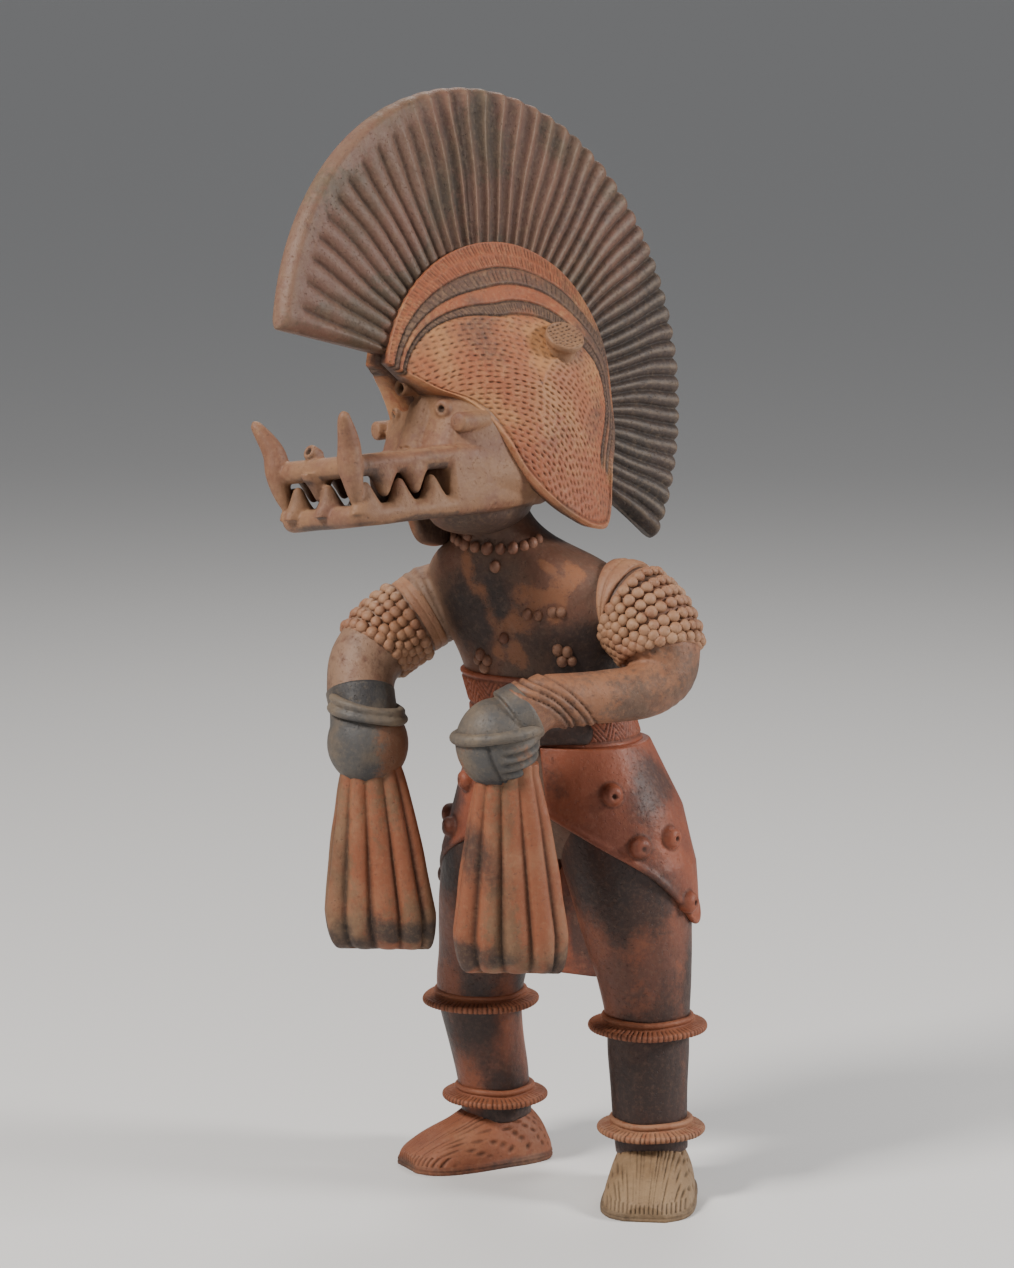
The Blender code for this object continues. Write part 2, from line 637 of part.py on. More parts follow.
def arm(name, stations, hand, roll_rise, parts):
    upper, lower = stations[:UPPER_ARM_COUNT], stations[UPPER_ARM_COUNT - 1:]
    tube(name + "_upper", upper, ARM_HINT, LIMB_SIDE_COUNT, parts)
    tube(name + "_lower", lower, ARM_HINT, LIMB_SIDE_COUNT, parts)
    x, y, z, girth = lower[0]
    ball(name + "_elbow", (x, y, z), np.eye(3) * girth * ELBOW_SWELL, BALL_SIDE_COUNT, BALL_ROW_COUNT, parts)
    side, deep, tall = HAND_SIZE
    turn = radians(POUCH_TURN)
    across, ahead = np.array((cos(turn), sin(turn), 0.0)), np.array((sin(turn), -cos(turn), 0.0))
    axes = (across * side, ahead * deep, np.array((0, 0, tall)))
    ball(name + "_hand", hand, axes, BALL_SIDE_COUNT, BALL_ROW_COUNT, parts)
    roll = np.array(hand) + np.array((0.0, 0.0, roll_rise))
    rings = []
    half = WRIST_ROLL_DEEP / 2
    flat = half * WRIST_ROLL_FLAT
    out, sunk = WRIST_ROLL_OUT, -WRIST_ROLL_SUNK
    for rise, grow in ((-half, sunk), (-flat, out), (flat, out), (half, sunk)):
        level = roll + np.array((0, 0, rise))
        rings.append(ellipse(level, across, ahead, side + grow, deep + grow, LIMB_SIDE_COUNT))
    loft(name + "_roll", rings, parts)


def armlet(name, stations, reach, parts):
    """A plain raised band, then rows of beads wound round the upper arm."""
    stations = np.asarray(stations, float)[:UPPER_ARM_COUNT]
    first, last = reach
    frames = limb_frames(stations[:, :3], ARM_HINT)
    lengths = np.concatenate(([0.0], np.cumsum(np.linalg.norm(np.diff(stations[:, :3], axis=0), axis=1))))
    lengths /= lengths[-1]

    def section(share, proud, around):
        place = [np.interp(share, lengths, stations[:, k]) for k in range(4)]
        side = unit([np.interp(share, lengths, [frame[1][k] for frame in frames]) for k in range(3)])
        cross = unit([np.interp(share, lengths, [frame[2][k] for frame in frames]) for k in range(3)])
        ring = []
        for k in range(around):
            c, s = cos(2 * pi * k / around), sin(2 * pi * k / around)
            lift = place[3] + (proud[k % 2] if isinstance(proud, tuple) else proud)
            ring.append(np.array(place[:3]) + lift * (c * side + s * cross))
        return ring

    around = ARMLET_BEAD_COUNT * 2
    rings = [section(first, -ARMLET_SUNK, around)]
    for row in range(ARMLET_ROW_COUNT):
        low = first + (last - first) * row / ARMLET_ROW_COUNT
        middle = first + (last - first) * (row + 0.5) / ARMLET_ROW_COUNT
        rings.append(section(low, BEAD_BED, around))
        rings.append(section(middle, (BEAD_PROUD, BEAD_PROUD * BEAD_GAP_SHARE), around))
    rings.append(section(last, BEAD_BED, around))
    rings.append(section(last, -ARMLET_SUNK, around))
    loft(name + "_beads", rings, parts)
    end = first - BAND_GAP_SHARE
    start = end - BAND_WIDTH_SHARE
    edges = ((start, -ARMLET_SUNK), (start, BAND_PROUD), (end, BAND_PROUD), (end, -ARMLET_SUNK))
    band = [section(share, proud, LIMB_SIDE_COUNT) for share, proud in edges]
    loft(name + "_band", band, parts)


def pouch(name, ends, parts):
    """A flat bag of upright ribs that hangs from a hand and widens to a rounded foot."""
    top, foot = np.array(ends[0]), np.array(ends[1])
    turn = radians(POUCH_TURN)
    across, ahead = np.array((cos(turn), sin(turn), 0.0)), np.array((sin(turn), -cos(turn), 0.0))
    rings = []
    for level in POUCH_LEVELS:
        open_share = min(level / POUCH_WIDEST, 1.0) ** POUCH_FLARE
        past = max(0.0, (level - POUCH_WIDEST) / POUCH_FOOT_SHARE)
        round_off = sqrt(max(0.0, 1.0 - past ** POUCH_FOOT_ROUND))
        width = POUCH_HALF_WIDTH[0] + (POUCH_HALF_WIDTH[1] - POUCH_HALF_WIDTH[0]) * open_share
        depth = (POUCH_HALF_DEPTH[0] + (POUCH_HALF_DEPTH[1] - POUCH_HALF_DEPTH[0]) * open_share) * round_off
        width *= 1.0 - POUCH_FOOT_NARROW * (1.0 - round_off)
        centre = top + (foot - top) * level
        count = POUCH_RIB_COUNT * 4
        ring = []
        for k in range(count):
            a = 2 * pi * (k + 0.5) / count
            rib = 1.0 if k % 2 else 0.0
            c, s = cos(a), sin(a)
            reach = (abs(c) ** POUCH_SQUARE + abs(s) ** POUCH_SQUARE) ** (-1 / POUCH_SQUARE)
            groove = RIB_DEPTH * (1 - rib) * round_off * min(1.0, RIB_DEPTH_AT_NECK + level)
            ring.append(centre + reach * (c * (width - groove) * across + s * (depth - groove) * ahead))
        rings.append(ring)
    loft(name, rings, parts)


def hip_point(turn, height, proud):
    x, y, a, b = between(HIP_LEVELS, height)
    c, s = sin(radians(turn)), -cos(radians(turn))
    reach = (abs(c) ** TORSO_SQUARE + abs(s) ** TORSO_SQUARE) ** (-1 / TORSO_SQUARE)
    return np.array((x + c * reach * (a + proud), y + s * reach * (b + proud), height))


def hem_height(turn):
    """Height of the hem at a turn about the hips; both sides fall alike."""
    return between(HEM, min(turn % 360.0, -turn % 360.0))[0]


def skirt(parts):
    """A thick cloth wrapped round the hips, open at the front, with its hem falling to each side."""
    opening = HEM[0][0]
    rings = []
    for turn in np.linspace(opening, 360.0 - opening, SKIRT_STEP_COUNT):
        hem = hem_height(turn)
        heights = [SKIRT_TOP, (SKIRT_TOP * 2 + hem) / 3, (SKIRT_TOP + hem * 2) / 3, hem]
        ring = [hip_point(turn, h, SKIRT_PROUD) for h in heights]
        ring += [hip_point(turn, h, SKIRT_PROUD - SKIRT_WALL) for h in reversed(heights)]
        rings.append(ring)
    loft("skirt", rings, parts)
    for turn, share in SKIRT_STUDS:
        for side in (1, -1):
            height = SKIRT_TOP + (hem_height(turn) - SKIRT_TOP) * share
            base = hip_point(side * turn, height, SKIRT_PROUD)
            out = hip_point(side * turn, height, SKIRT_PROUD + STUD_REACH) - base
            button("skirt_stud", base, out, STUD_SIZE, BUTTON_SIDE_COUNT, parts)


def loin_panel(parts):
    rings = []
    for x, y, z, half in LOIN_PANEL:
        corners = ((half, -1), (half, 1), (-half, 1), (-half, -1))
        rings.append([np.array((x + w, y + d * LOIN_THICK, z)) for w, d in corners])
    loft("loin_panel", rings, parts)


def leg_ring(name, stations, height, radius, parts):
    """A flanged disc worn round the leg."""
    x, y, girth = between([(z, x, y, r) for x, y, z, r in stations], height)
    side, across = np.array((1.0, 0.0, 0.0)), np.array((0.0, 1.0, 0.0))
    middle = (girth + radius) / 2
    profile = ((girth - RING_SUNK, -RING_ROOT / 2), (middle, -RING_SHOULDER / 2), (radius, -RING_EDGE / 2),
               (radius, RING_EDGE / 2), (middle, RING_SHOULDER / 2), (girth - RING_SUNK, RING_ROOT / 2))
    rings = [ellipse((x, y, height + rise), side, across, r, r, LIMB_SIDE_COUNT) for r, rise in profile]
    loft(name, rings, parts)


def foot(name, stations, turn, parts):
    """A slipper with a flat sole that shows as a thin layer round its edge."""
    ankle = np.array((stations[-1][0], stations[-1][1], 0.0))
    along = np.array((sin(radians(turn)), -cos(radians(turn)), 0.0))
    across = np.array((cos(radians(turn)), sin(radians(turn)), 0.0))
    rings = []
    for ahead, half, tall in FOOT_STATIONS:
        sole = half + SOLE_OUT
        ring = [(sole, 0.0), (sole, SOLE_THICK), (half, SOLE_THICK + SOLE_STEP)]
        for a in np.radians(INSTEP_ARC):
            ring.append((half * cos(a), SOLE_THICK + (tall - SOLE_THICK) * sin(a)))
        ring += [(-half, SOLE_THICK + SOLE_STEP), (-sole, SOLE_THICK), (-sole, 0.0)]
        rings.append([ankle + along * ahead + across * w + np.array((0, 0, z)) for w, z in ring])
    loft(name, rings, parts)


def fuse(body, forms):
    """Join every form to the body, so the figure is one closed piece of clay."""
    clay = bpy.data.collections.new("forms")
    bpy.context.scene.collection.children.link(clay)
    for form in forms:
        clay.objects.link(form)
        form.hide_render = True
        form.display_type = "WIRE"
    join = body.modifiers.new("join forms", "BOOLEAN")
    join.operation = "UNION"
    join.operand_type = "COLLECTION"
    join.collection = clay
    join.solver = "EXACT"
    weld = body.modifiers.new("merge close points", "WELD")
    weld.merge_threshold = CLOSE_ENOUGH * SCALE
    thin = body.modifiers.new("merge flat faces", "DECIMATE")
    thin.decimate_type = "DISSOLVE"
    thin.use_dissolve_boundaries = True
    thin.angle_limit = radians(FLAT_ENOUGH)


def build_figure():
    clear_scene()
    forms = []
    body = torso(forms)
    crest(forms)
    hood(1, "hood_left", forms)
    hood(-1, "hood_right", forms)
    head_core(forms)
    snout(forms)
    face_pellets(forms)
    chest_pellets(forms)
    arm("right_arm", RIGHT_ARM, RIGHT_HAND, RIGHT_ROLL_RISE, forms)
    arm("left_arm", LEFT_ARM, LEFT_HAND, LEFT_ROLL_RISE, forms)
    armlet("right_armlet", RIGHT_ARM, RIGHT_ARMLET_SHARES, forms)
    armlet("left_armlet", LEFT_ARM, LEFT_ARMLET_SHARES, forms)
    pouch("right_pouch", RIGHT_POUCH, forms)
    pouch("left_pouch", LEFT_POUCH, forms)
    skirt(forms)
    loin_panel(forms)
    for name, stations, turn in (("right", RIGHT_LEG, RIGHT_FOOT_TURN), ("left", LEFT_LEG, LEFT_FOOT_TURN)):
        tube(name + "_leg", stations, (0.0, 1.0, 0.0), LIMB_SIDE_COUNT, forms)
        leg_ring(name + "_knee_ring", stations, KNEE_RING_HEIGHT, KNEE_RING_RADIUS, forms)
        leg_ring(name + "_ankle_ring", stations, ANKLE_RING_HEIGHT, ANKLE_RING_RADIUS, forms)
        foot(name + "_foot", stations, turn, forms)
    forms.remove(body)
    bpy.context.scene.collection.objects.link(body)
    body.data.materials.append(clay_material())
    fuse(body, forms)


build_figure()
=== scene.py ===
"""Dresses the packed clay dancer: fluted crest, punched hood, mask, armlets, belt, pouches and punched shoes."""

from math import cos, pi, radians, sin, sqrt

import bmesh
import bpy
import numpy as np
from mathutils import Matrix, Vector


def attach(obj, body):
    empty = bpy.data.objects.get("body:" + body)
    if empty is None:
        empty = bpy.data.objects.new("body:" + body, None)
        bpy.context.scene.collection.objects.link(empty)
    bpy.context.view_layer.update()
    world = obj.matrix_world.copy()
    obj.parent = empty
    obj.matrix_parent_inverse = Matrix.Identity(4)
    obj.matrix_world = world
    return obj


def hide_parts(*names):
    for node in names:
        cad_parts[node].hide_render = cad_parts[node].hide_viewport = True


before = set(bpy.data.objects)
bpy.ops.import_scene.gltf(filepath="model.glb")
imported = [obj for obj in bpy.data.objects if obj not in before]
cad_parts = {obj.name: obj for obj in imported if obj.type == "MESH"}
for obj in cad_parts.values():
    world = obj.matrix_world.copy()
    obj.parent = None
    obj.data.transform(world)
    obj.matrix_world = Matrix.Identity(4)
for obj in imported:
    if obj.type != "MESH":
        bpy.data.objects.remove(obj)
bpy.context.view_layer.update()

# Lengths are in millimetres of the standing figure until a piece is placed.
# It faces -Y, its left hand is on +X, and it stands on Z = 0.
MM = 0.001
BOX_CENTRE = np.array((-16.0, -32.8, 0.0))

# ---- Head and crest
HEAD_AT = np.array((-42.7, -34.0, 448.0))
HEAD_TURN = radians(21.0)
HEAD_ROLL = radians(9.0)
FORWARD = np.array((-sin(HEAD_TURN), -cos(HEAD_TURN), 0.0))
LEVEL_LEFT = np.array((cos(HEAD_TURN), -sin(HEAD_TURN), 0.0))
STRAIGHT_UP = np.array((0.0, 0.0, 1.0))
UP = STRAIGHT_UP * cos(HEAD_ROLL) - LEVEL_LEFT * sin(HEAD_ROLL)
LEFT = LEVEL_LEFT * cos(HEAD_ROLL) + STRAIGHT_UP * sin(HEAD_ROLL)

CREST_RADIUS = 141.0
CREST_RISE = 18.0
CREST_BACK = 3.0
CREST_SUNK = 4.0
CREST_FROM, CREST_TO = 15.0, 221.0
CREST_FLUTES = 46
FLUTE_SPREAD = (1.35, 1.0, 0.86)
CREST_HALF = 8.0
CREST_ROOT_HALF = 7.0
FLUTE_DEPTH = 2.9
CREST_RIM = 9.0
CREST_SCALLOP = 2.4
CREST_COLUMNS = 736
CREST_ROWS = 26
RIM_ROWS = 8

HOOD_CENTRE = np.array((-8.0, -5.0))
HOOD_RADIUS = 79.0
HOOD_HALF = 43.0
HOOD_WALL = 7.0
HOOD_TOP_LEAN = 1.0
HOOD_BROW_LEAN = 1.35
HOOD_NAPE_LEAN = 2.6
HOOD_ARC = (14.0, 196.0)
HOOD_BANDS = (1.0, 0.82, 0.70, 0.58, 0.49)
FLAP_EDGE = (
    (-76.0, -38.0), (-63.0, -58.0), (-60.0, -76.0), (-52.0, -86.0), (-38.0, -86.0), (-24.0, -80.0),
    (-10.0, -71.0), (5.0, -55.0), (17.0, -32.5), (34.0, -11.0), (50.0, -2.0),
)
# The right flap hangs further forward, past the far cheek
RIGHT_FLAP_EDGE = (
    (-76.0, -38.0), (-64.0, -56.0), (-50.0, -70.0), (-30.0, -80.0), (-8.0, -86.0), (14.0, -87.0),
    (28.0, -82.0), (35.0, -67.0), (38.0, -46.0), (40.0, -24.0), (50.0, -2.0),
)
RIGHT_BROW_LEAN = 1.7
# The rows of punched dashes on the hood bend round this place, forward and up from the crest's middle
DASH_CENTRE = (25.0, -70.0)
DASH_PITCH = (4.8, 2.9)
DASH_SIZE = (3.2, 1.1)
DASH_DEPTH = 0.85

MASK_LEVELS = (
    (-70.0, 46.0, -22.0, 26.0), (-63.0, 54.0, -40.0, 33.0), (-36.0, 55.0, -54.0, 35.5),
    (-14.0, 44.0, -57.0, 33.0), (6.0, 42.0, -56.0, 24.0), (28.0, 24.0, -46.0, 17.0), (48.0, 4.0, -30.0, 9.0),
)
EYE_AT = (41.0, 18.9, -13.5)
EYE_LOOKS_OUT = 0.35
NEAR_PEG = (30.0, 31.0, -21.5)
FAR_PEG = (30.0, -33.5, -21.5)
PEG_LEANS_OUT = 0.18
BROW_TUBE = (40.0, 0.0, 0.0)
PLUG_PLACE = (-29.0, 36.0, 12.0)
SNOUT_ROOT = 30.0
MASK_SQUARE = 4.0
CHEEK_SQUARE = 7.0
FAR_CHEEK = 0.20
SNOUT_FRONT = 119.0
SNOUT_HALF = 30.0
UPPER_JAW = -39.0
LOWER_JAW = -65.0
JAW_BAR = 5.8
JAW_PLATE = 5.0
UPPER_TEETH = (76.4, 97.5)
LOWER_TEETH = (65.3, 87.0, 110.0)
LOWER_FRONT_TEETH = (-18.6, 7.2)
TOOTH_SIZE = (5.6, 4.6)
UPPER_TOOTH, LOWER_TOOTH = -12.5, 13.0
NOSTRIL = (114.0, -4.0, -31.0)
NOSTRIL_LEANS_UP = 0.6
NOSE_RIDGE = ((35.0, 0.0, 2.0, 6.0), (37.5, 0.0, -10.0, 8.5), (42.5, 0.0, -24.0, 9.5),
              (49.0, 0.0, -36.0, 10.0))
CHEEK = ((-6.0, 31.0), (12.0, 34.5), (26.0, 36.2), (46.0, 36.4), (52.0, 36.0), (55.0, 34.0))

# ---- Body and limbs
TORSO_LEVELS = (
    (186.0, -2.0, -3.0, 34.0, 26.0), (206.0, -1.0, -4.0, 54.0, 36.0), (230.0, -4.0, -5.0, 51.0, 36.0),
    (250.0, -8.0, -6.0, 46.0, 34.0), (270.0, -12.0, -7.5, 44.0, 32.5), (292.0, -15.0, -9.5, 47.0, 33.0),
    (312.0, -18.0, -11.0, 54.0, 34.5), (330.0, -21.0, -13.0, 59.5, 34.0), (344.0, -24.0, -16.0, 55.0, 31.0),
    (354.0, -28.0, -20.0, 43.0, 26.5), (362.0, -31.0, -23.0, 29.0, 22.0), (371.0, -34.0, -26.0, 20.5, 19.0),
    (396.0, -38.0, -30.0, 17.5, 18.0),
)
TORSO_SQUARE = 2.3
BELT_BOTTOM, BELT_TOP = 250.0, 288.0
BELT_PROUD = 2.0
RIGHT_ARM = (
    (-56.0, -12.0, 323.0, 20.0), (-74.0, -16.0, 322.0, 22.0), (-89.0, -28.0, 312.0, 21.5),
    (-100.0, -41.0, 301.0, 20.5), (-105.0, -52.0, 289.0, 19.5), (-103.0, -59.0, 277.0, 18.5),
    (-99.0, -63.0, 266.0, 18.0), (-96.0, -66.0, 256.0, 19.0),
)
RIGHT_HAND = (-94.0, -67.0, 249.0)
LEFT_ARM = (
    (20.0, -12.0, 326.0, 20.0), (36.0, -12.0, 328.0, 23.0), (51.0, -14.0, 318.0, 23.5), (60.0, -16.0, 304.0,
                                                                                         21.5),
    (63.0, -21.0, 293.0, 18.0), (57.0, -33.0, 286.0, 15.5), (45.0, -49.0, 284.0, 14.5), (31.0, -67.0, 284.0,
                                                                                         14.5),
    (19.0, -82.0, 283.0, 15.0), (9.0, -92.0, 275.0, 17.0),
)
LEFT_HAND = (3.0, -98.0, 263.0)
ARM_HINT = (0.3, 0.9, 0.35)
HAND_SIZE = (22.5, 20.0, 24.0)
# Across and ahead of the hands and pouches
HOLD_TURN = radians(24.0)
ACROSS = np.array((cos(HOLD_TURN), sin(HOLD_TURN), 0.0))
AHEAD = np.array((sin(HOLD_TURN), -cos(HOLD_TURN), 0.0))
# Share of the upper arm where the rows of pellets start and end, and how many rows
RIGHT_ARMLET = (0.51, 0.88, 5)
LEFT_ARMLET = (0.30, 0.82, 7)
BEAD_SPACING = 6.4

RIGHT_LEG = (
    (-27.0, -5.0, 214.0, 34.0), (-38.0, -7.0, 190.0, 34.5), (-49.0, -5.0, 156.0, 31.0), (-57.0, -1.0, 122.0,
                                                                                         26.0),
    (-61.0, 1.0, 98.0, 24.0), (-60.0, 4.0, 78.0, 22.0), (-57.0, 9.0, 50.0, 20.5), (-55.0, 11.0, 24.0, 19.5),
)
LEFT_LEG = (
    (25.0, -5.0, 214.0, 35.0), (33.0, -5.0, 188.0, 35.5), (40.5, -6.0, 154.0, 31.5), (47.0, -7.5, 120.0,
                                                                                      26.0),
    (49.0, -8.0, 98.0, 23.0), (50.0, -9.0, 78.0, 22.5), (52.0, -10.5, 50.0, 21.0), (54.0, -11.5, 24.0, 20.0),
)
KNEE_RING = (94.0, 32.5)
ANKLE_RING = (37.0, 29.5)
FOOT_STATIONS = (
    (-29.0, 11.0, 12.0), (-22.0, 19.0, 25.0), (-6.0, 23.0, 36.0), (10.0, 24.0, 34.0),
    (27.0, 24.5, 25.0), (42.0, 23.0, 18.0), (52.0, 18.0, 12.5), (57.5, 10.0, 9.0),
)
RIGHT_FOOT_TURN, LEFT_FOOT_TURN = radians(-35.0), radians(22.0)

HEM = ((8.0, 214.0), (30.0, 200.0), (55.0, 183.0), (80.0, 163.0), (98.0, 151.0), (130.0, 162.0),
       (180.0, 176.0))
HIP_LEVELS = (
    (140.0, -1.0, -4.0, 73.5, 41.0), (185.0, -2.0, -5.0, 71.5, 42.5), (215.0, -2.0, -5.0, 62.5, 41.5),
    (238.0, -5.0, -5.5, 53.0, 38.5), (255.0, -8.0, -6.0, 47.0, 35.0),
)
SKIRT_TOP = 251.0
SKIRT_PROUD = 2.6
# Turn from the front, and share of the way down to the hem
SKIRT_STUDS = ((45.0, 0.39), (53.0, 0.78), (77.0, 0.57), (86.0, 0.92))
LOIN_PANEL = ((-4.0, 2.0, 204.0, 16.0), (-4.0, 2.0, 160.0, 24.0), (-5.0, 2.0, 122.0, 28.0),
              (-5.0, 2.0, 115.0, 20.0))
LOIN_SQUARE = 5.0

POUCH_RIBS = 5
POUCH_SQUARE = 2.6
RIGHT_POUCH = ((-91.0, -68.0, 236.0), (-83.5, -69.5, 136.0))
LEFT_POUCH = ((8.5, -96.0, 246.0), (9.0, -92.0, 138.0))
POUCH_HALF_WIDTH = (17.0, 31.5)
POUCH_HALF_DEPTH = (10.0, 15.0)

# Turn from the front and height on the torso of each pressed-on pellet
CHEST_PELLETS = (
    (1.0, 349.0, 3.4), (14.0, 324.0, 3.3), (20.0, 324.0, 3.0), (28.0, 326.0, 3.0), (33.0, 326.0, 3.0),
    (-3.0, 310.0, 3.2), (-24.0, 299.0, 3.4), (-20.0, 296.0, 3.2), (-24.0, 292.0, 3.4), (-28.0, 296.0, 3.0),
    (30.0, 305.0, 3.2), (36.0, 304.0, 3.2), (33.0, 299.0, 3.4), (39.0, 299.0, 3.0), (-25.0, 364.0, 3.0),
)
# Painted strokes on the chest: from turn and height, to turn and height, half width
CHEST_STROKES = (
    (-22.0, 352.0, -2.0, 312.0, 4.0), (58.0, 350.0, -4.0, 317.0, 4.2), (38.0, 352.0, 29.0, 322.0, 3.2),
    (-4.0, 317.0, -10.0, 300.0, 3.0), (17.0, 337.0, 8.0, 318.0, 6.0), (2.0, 306.0, 4.0, 298.0, 5.5),
)


def unit(vector):
    vector = np.asarray(vector, float)
    return vector / np.linalg.norm(vector)


def head_points(forward, left, up):
    """Places given forward, left and up from the middle of the crest."""
    forward, left, up = np.broadcast_arrays(*(np.asarray(v, float) for v in (forward, left, up)))
    return HEAD_AT + forward[..., None] * FORWARD + left[..., None] * LEFT + up[..., None] * UP


def head_parts(points):
    """The forward, left and up distances of places on the head."""
    away = points - HEAD_AT
    return away @ FORWARD, away @ LEFT, away @ UP


def between(stations, at):
    """Values read from a list of stations, by straight lines between them."""
    table = np.array(sorted(stations), float)
    return [np.interp(at, table[:, 0], table[:, k]) for k in range(1, table.shape[1])]


def curve_through(table, knots, count):
    """A smooth curve of count rows through the rows of a table, spaced evenly along its knots."""
    slope = np.gradient(table, knots, axis=0)
    at = np.linspace(knots[0], knots[-1], count)
    k = np.clip(np.searchsorted(knots, at, side="right") - 1, 0, len(knots) - 2)
    span = (knots[k + 1] - knots[k])[:, None]
    t = (at - knots[k])[:, None] / span
    return ((2 * t ** 3 - 3 * t ** 2 + 1) * table[k] + (t ** 3 - 2 * t ** 2 + t) * span * slope[k]
            + (3 * t ** 2 - 2 * t ** 3) * table[k + 1] + (t ** 3 - t ** 2) * span * slope[k + 1])


def flowing(stations, count):
    """A smooth run of stations, spaced evenly along the line that they follow."""
    table = np.asarray(stations, float)
    steps = np.linalg.norm(np.diff(table[:, :3], axis=0), axis=1)
    return curve_through(table, np.concatenate(([0.0], np.cumsum(steps))), count)


def flowing_levels(levels, count):
    """A smooth run of body levels, ordered by height."""
    table = np.asarray(levels, float)
    return curve_through(table, table[:, 0], count)


def turns_of(count):
    """Evenly spaced angles once round."""
    return np.linspace(0, 2 * pi, count, endpoint=False)


def spokes(turns, side, cross):
    """Directions at each turn between two axes."""
    return np.cos(turns)[:, None] * side + np.sin(turns)[:, None] * cross


def squared(c, s, power):
    """How far a rounded square reaches in each direction, for a half width of 1."""
    return (np.abs(c) ** power + np.abs(s) ** power) ** (-1 / power)


def soft_step(low, high, value):
    t = np.clip((value - low) / (high - low), 0.0, 1.0)
    return t * t * (3 - 2 * t)


def scatter(row, column, turn):
    """A repeatable number from 0 to 1 for each cell of a pattern."""
    value = np.sin(row * 12.9898 + column * 78.233 + turn * 37.719) * 43758.5453
    return value - np.floor(value)


def drift(points, size, turn=0.0):
    """A slow hand-made waver from -1 to 1 over places in millimetres."""
    x, y, z = (points[..., k] / size + turn * (k + 1) for k in range(3))
    return (np.sin(x * 1.7 + 1.3 * np.sin(y * 1.1)) + np.sin(y * 1.9 + 1.1 * np.sin(z * 1.3 + 2.0))
            + np.sin(z * 1.6 + 1.2 * np.sin(x * 1.2 + 4.0))) / 3.0


def dashes(along, across, pitch, size, turn):
    """Rows of punched dashes: 1 at the bottom of a dash, 0 between them."""
    row = np.floor(across / pitch[1])
    place = along / pitch[0] + scatter(row, 3.0, turn)
    column = np.floor(place)
    off_along = (place - column - 0.5 + (scatter(row, column, turn) - 0.5) * 0.3) * pitch[0]
    off_across = (across / pitch[1] - row - 0.5 + (scatter(column, row, turn + 1) - 0.5) * 0.3) * pitch[1]
    lean = off_across + off_along * (scatter(row, column, turn + 2) - 0.5) * 0.25
    reach = np.sqrt((off_along * 2 / size[0]) ** 2 + (lean * 2 / size[1]) ** 2)
    depth = 0.65 + 0.35 * scatter(row, column, turn + 4)
    return np.clip(1.35 - reach, 0.0, 1.0) * depth


# ---- Meshes
def grid_faces(rows, columns, around=True, first=0):
    """Quads of a sheet of rows and columns, closed round its columns when around is true."""
    r = np.arange(rows - 1)[:, None]
    c = np.arange(columns if around else columns - 1)[None, :]
    n = (c + 1) % columns
    faces = np.stack(np.broadcast_arrays(r * columns + c, r * columns + n, (r + 1) * columns + n,
                                         (r + 1) * columns + c), axis=-1)
    return faces.reshape(-1, 4) + first


class Clay:
    """Collects closed forms, as loose points and faces, until they become one mesh."""

    def __init__(self):
        self.points, self.faces, self.count = [], [], 0

    def add(self, points, faces):
        points = np.asarray(points, float).reshape(-1, 3)
        self.points.append(points)
        self.faces += [tuple(int(v) + self.count for v in face) for face in faces]
        self.count += len(points)

    def loft(self, rings):
        """A skin over rings of equal count, with a fan at each end."""
        rings = np.asarray(rings, float)
        rows, columns = rings.shape[:2]
        points = np.concatenate((rings.reshape(-1, 3), rings[0].mean(axis=0)[None],
                                 rings[-1].mean(axis=0)[None]))
        faces = [tuple(f) for f in grid_faces(rows, columns)]
        first, last, end = rows * columns, rows * columns + 1, (rows - 1) * columns
        for k in range(columns):
            n = (k + 1) % columns
            faces.append((first, n, k))
            faces.append((last, end + k, end + n))
        self.add(points, faces)

    def ellipsoid(self, centre, side, across, up, sides=32, rows=18):
        turns = turns_of(sides)
        rings = []
        for r in range(1, rows):
            height, girth = cos(pi * r / rows), sin(pi * r / rows)
            rings.append(np.asarray(centre) + height * np.asarray(up)
                         + girth * (np.cos(turns)[:, None] * side + np.sin(turns)[:, None] * across))
        self.loft(rings)

    def tube(self, stations, hint, sides=32, flat=1.0):
        """A round limb through stations of x, y, z and radius."""
        stations = np.asarray(stations, float)
        turns = turns_of(sides)
        rings = []
        for k, (x, y, z, radius) in enumerate(stations):
            along = unit(stations[min(k + 1, len(stations) - 1), :3] - stations[max(k - 1, 0), :3])
            side = unit(np.cross(along, hint))
            cross = np.cross(side, along)
            rings.append(np.array((x, y, z)) + radius * np.cos(turns)[:, None] * side
                         + radius * flat * np.sin(turns)[:, None] * cross)
        self.loft(rings)

    def lathe(self, base, along, profile, sides=24, turn=0.0):
        """A turned form: profile gives the distance along the axis and the radius."""
        along = unit(along)
        side = unit(np.cross(along, (0.3, 0.2, 1.0)))
        cross = np.cross(along, side)
        turns = turns_of(sides) + turn
        around = spokes(turns, side, cross)
        self.loft([np.asarray(base) + s * along + r * around for s, r in profile])

    def mesh(self, name):
        mesh = bpy.data.meshes.new(name)
        mesh.from_pydata((np.concatenate(self.points) - BOX_CENTRE) * MM, [], self.faces)
        return mesh


def outward(mesh):
    """Turn every closed form's faces outwards."""
    shape = bmesh.new()
    shape.from_mesh(mesh)
    bmesh.ops.recalc_face_normals(shape, faces=shape.faces)
    shape.to_mesh(mesh)
    shape.free()
    return mesh


def carrier_of(mesh):
    """A passing object that carries a mesh while modifiers work on it."""
    carrier = bpy.data.objects.new(mesh.name, mesh)
    bpy.context.scene.collection.objects.link(carrier)
    return carrier


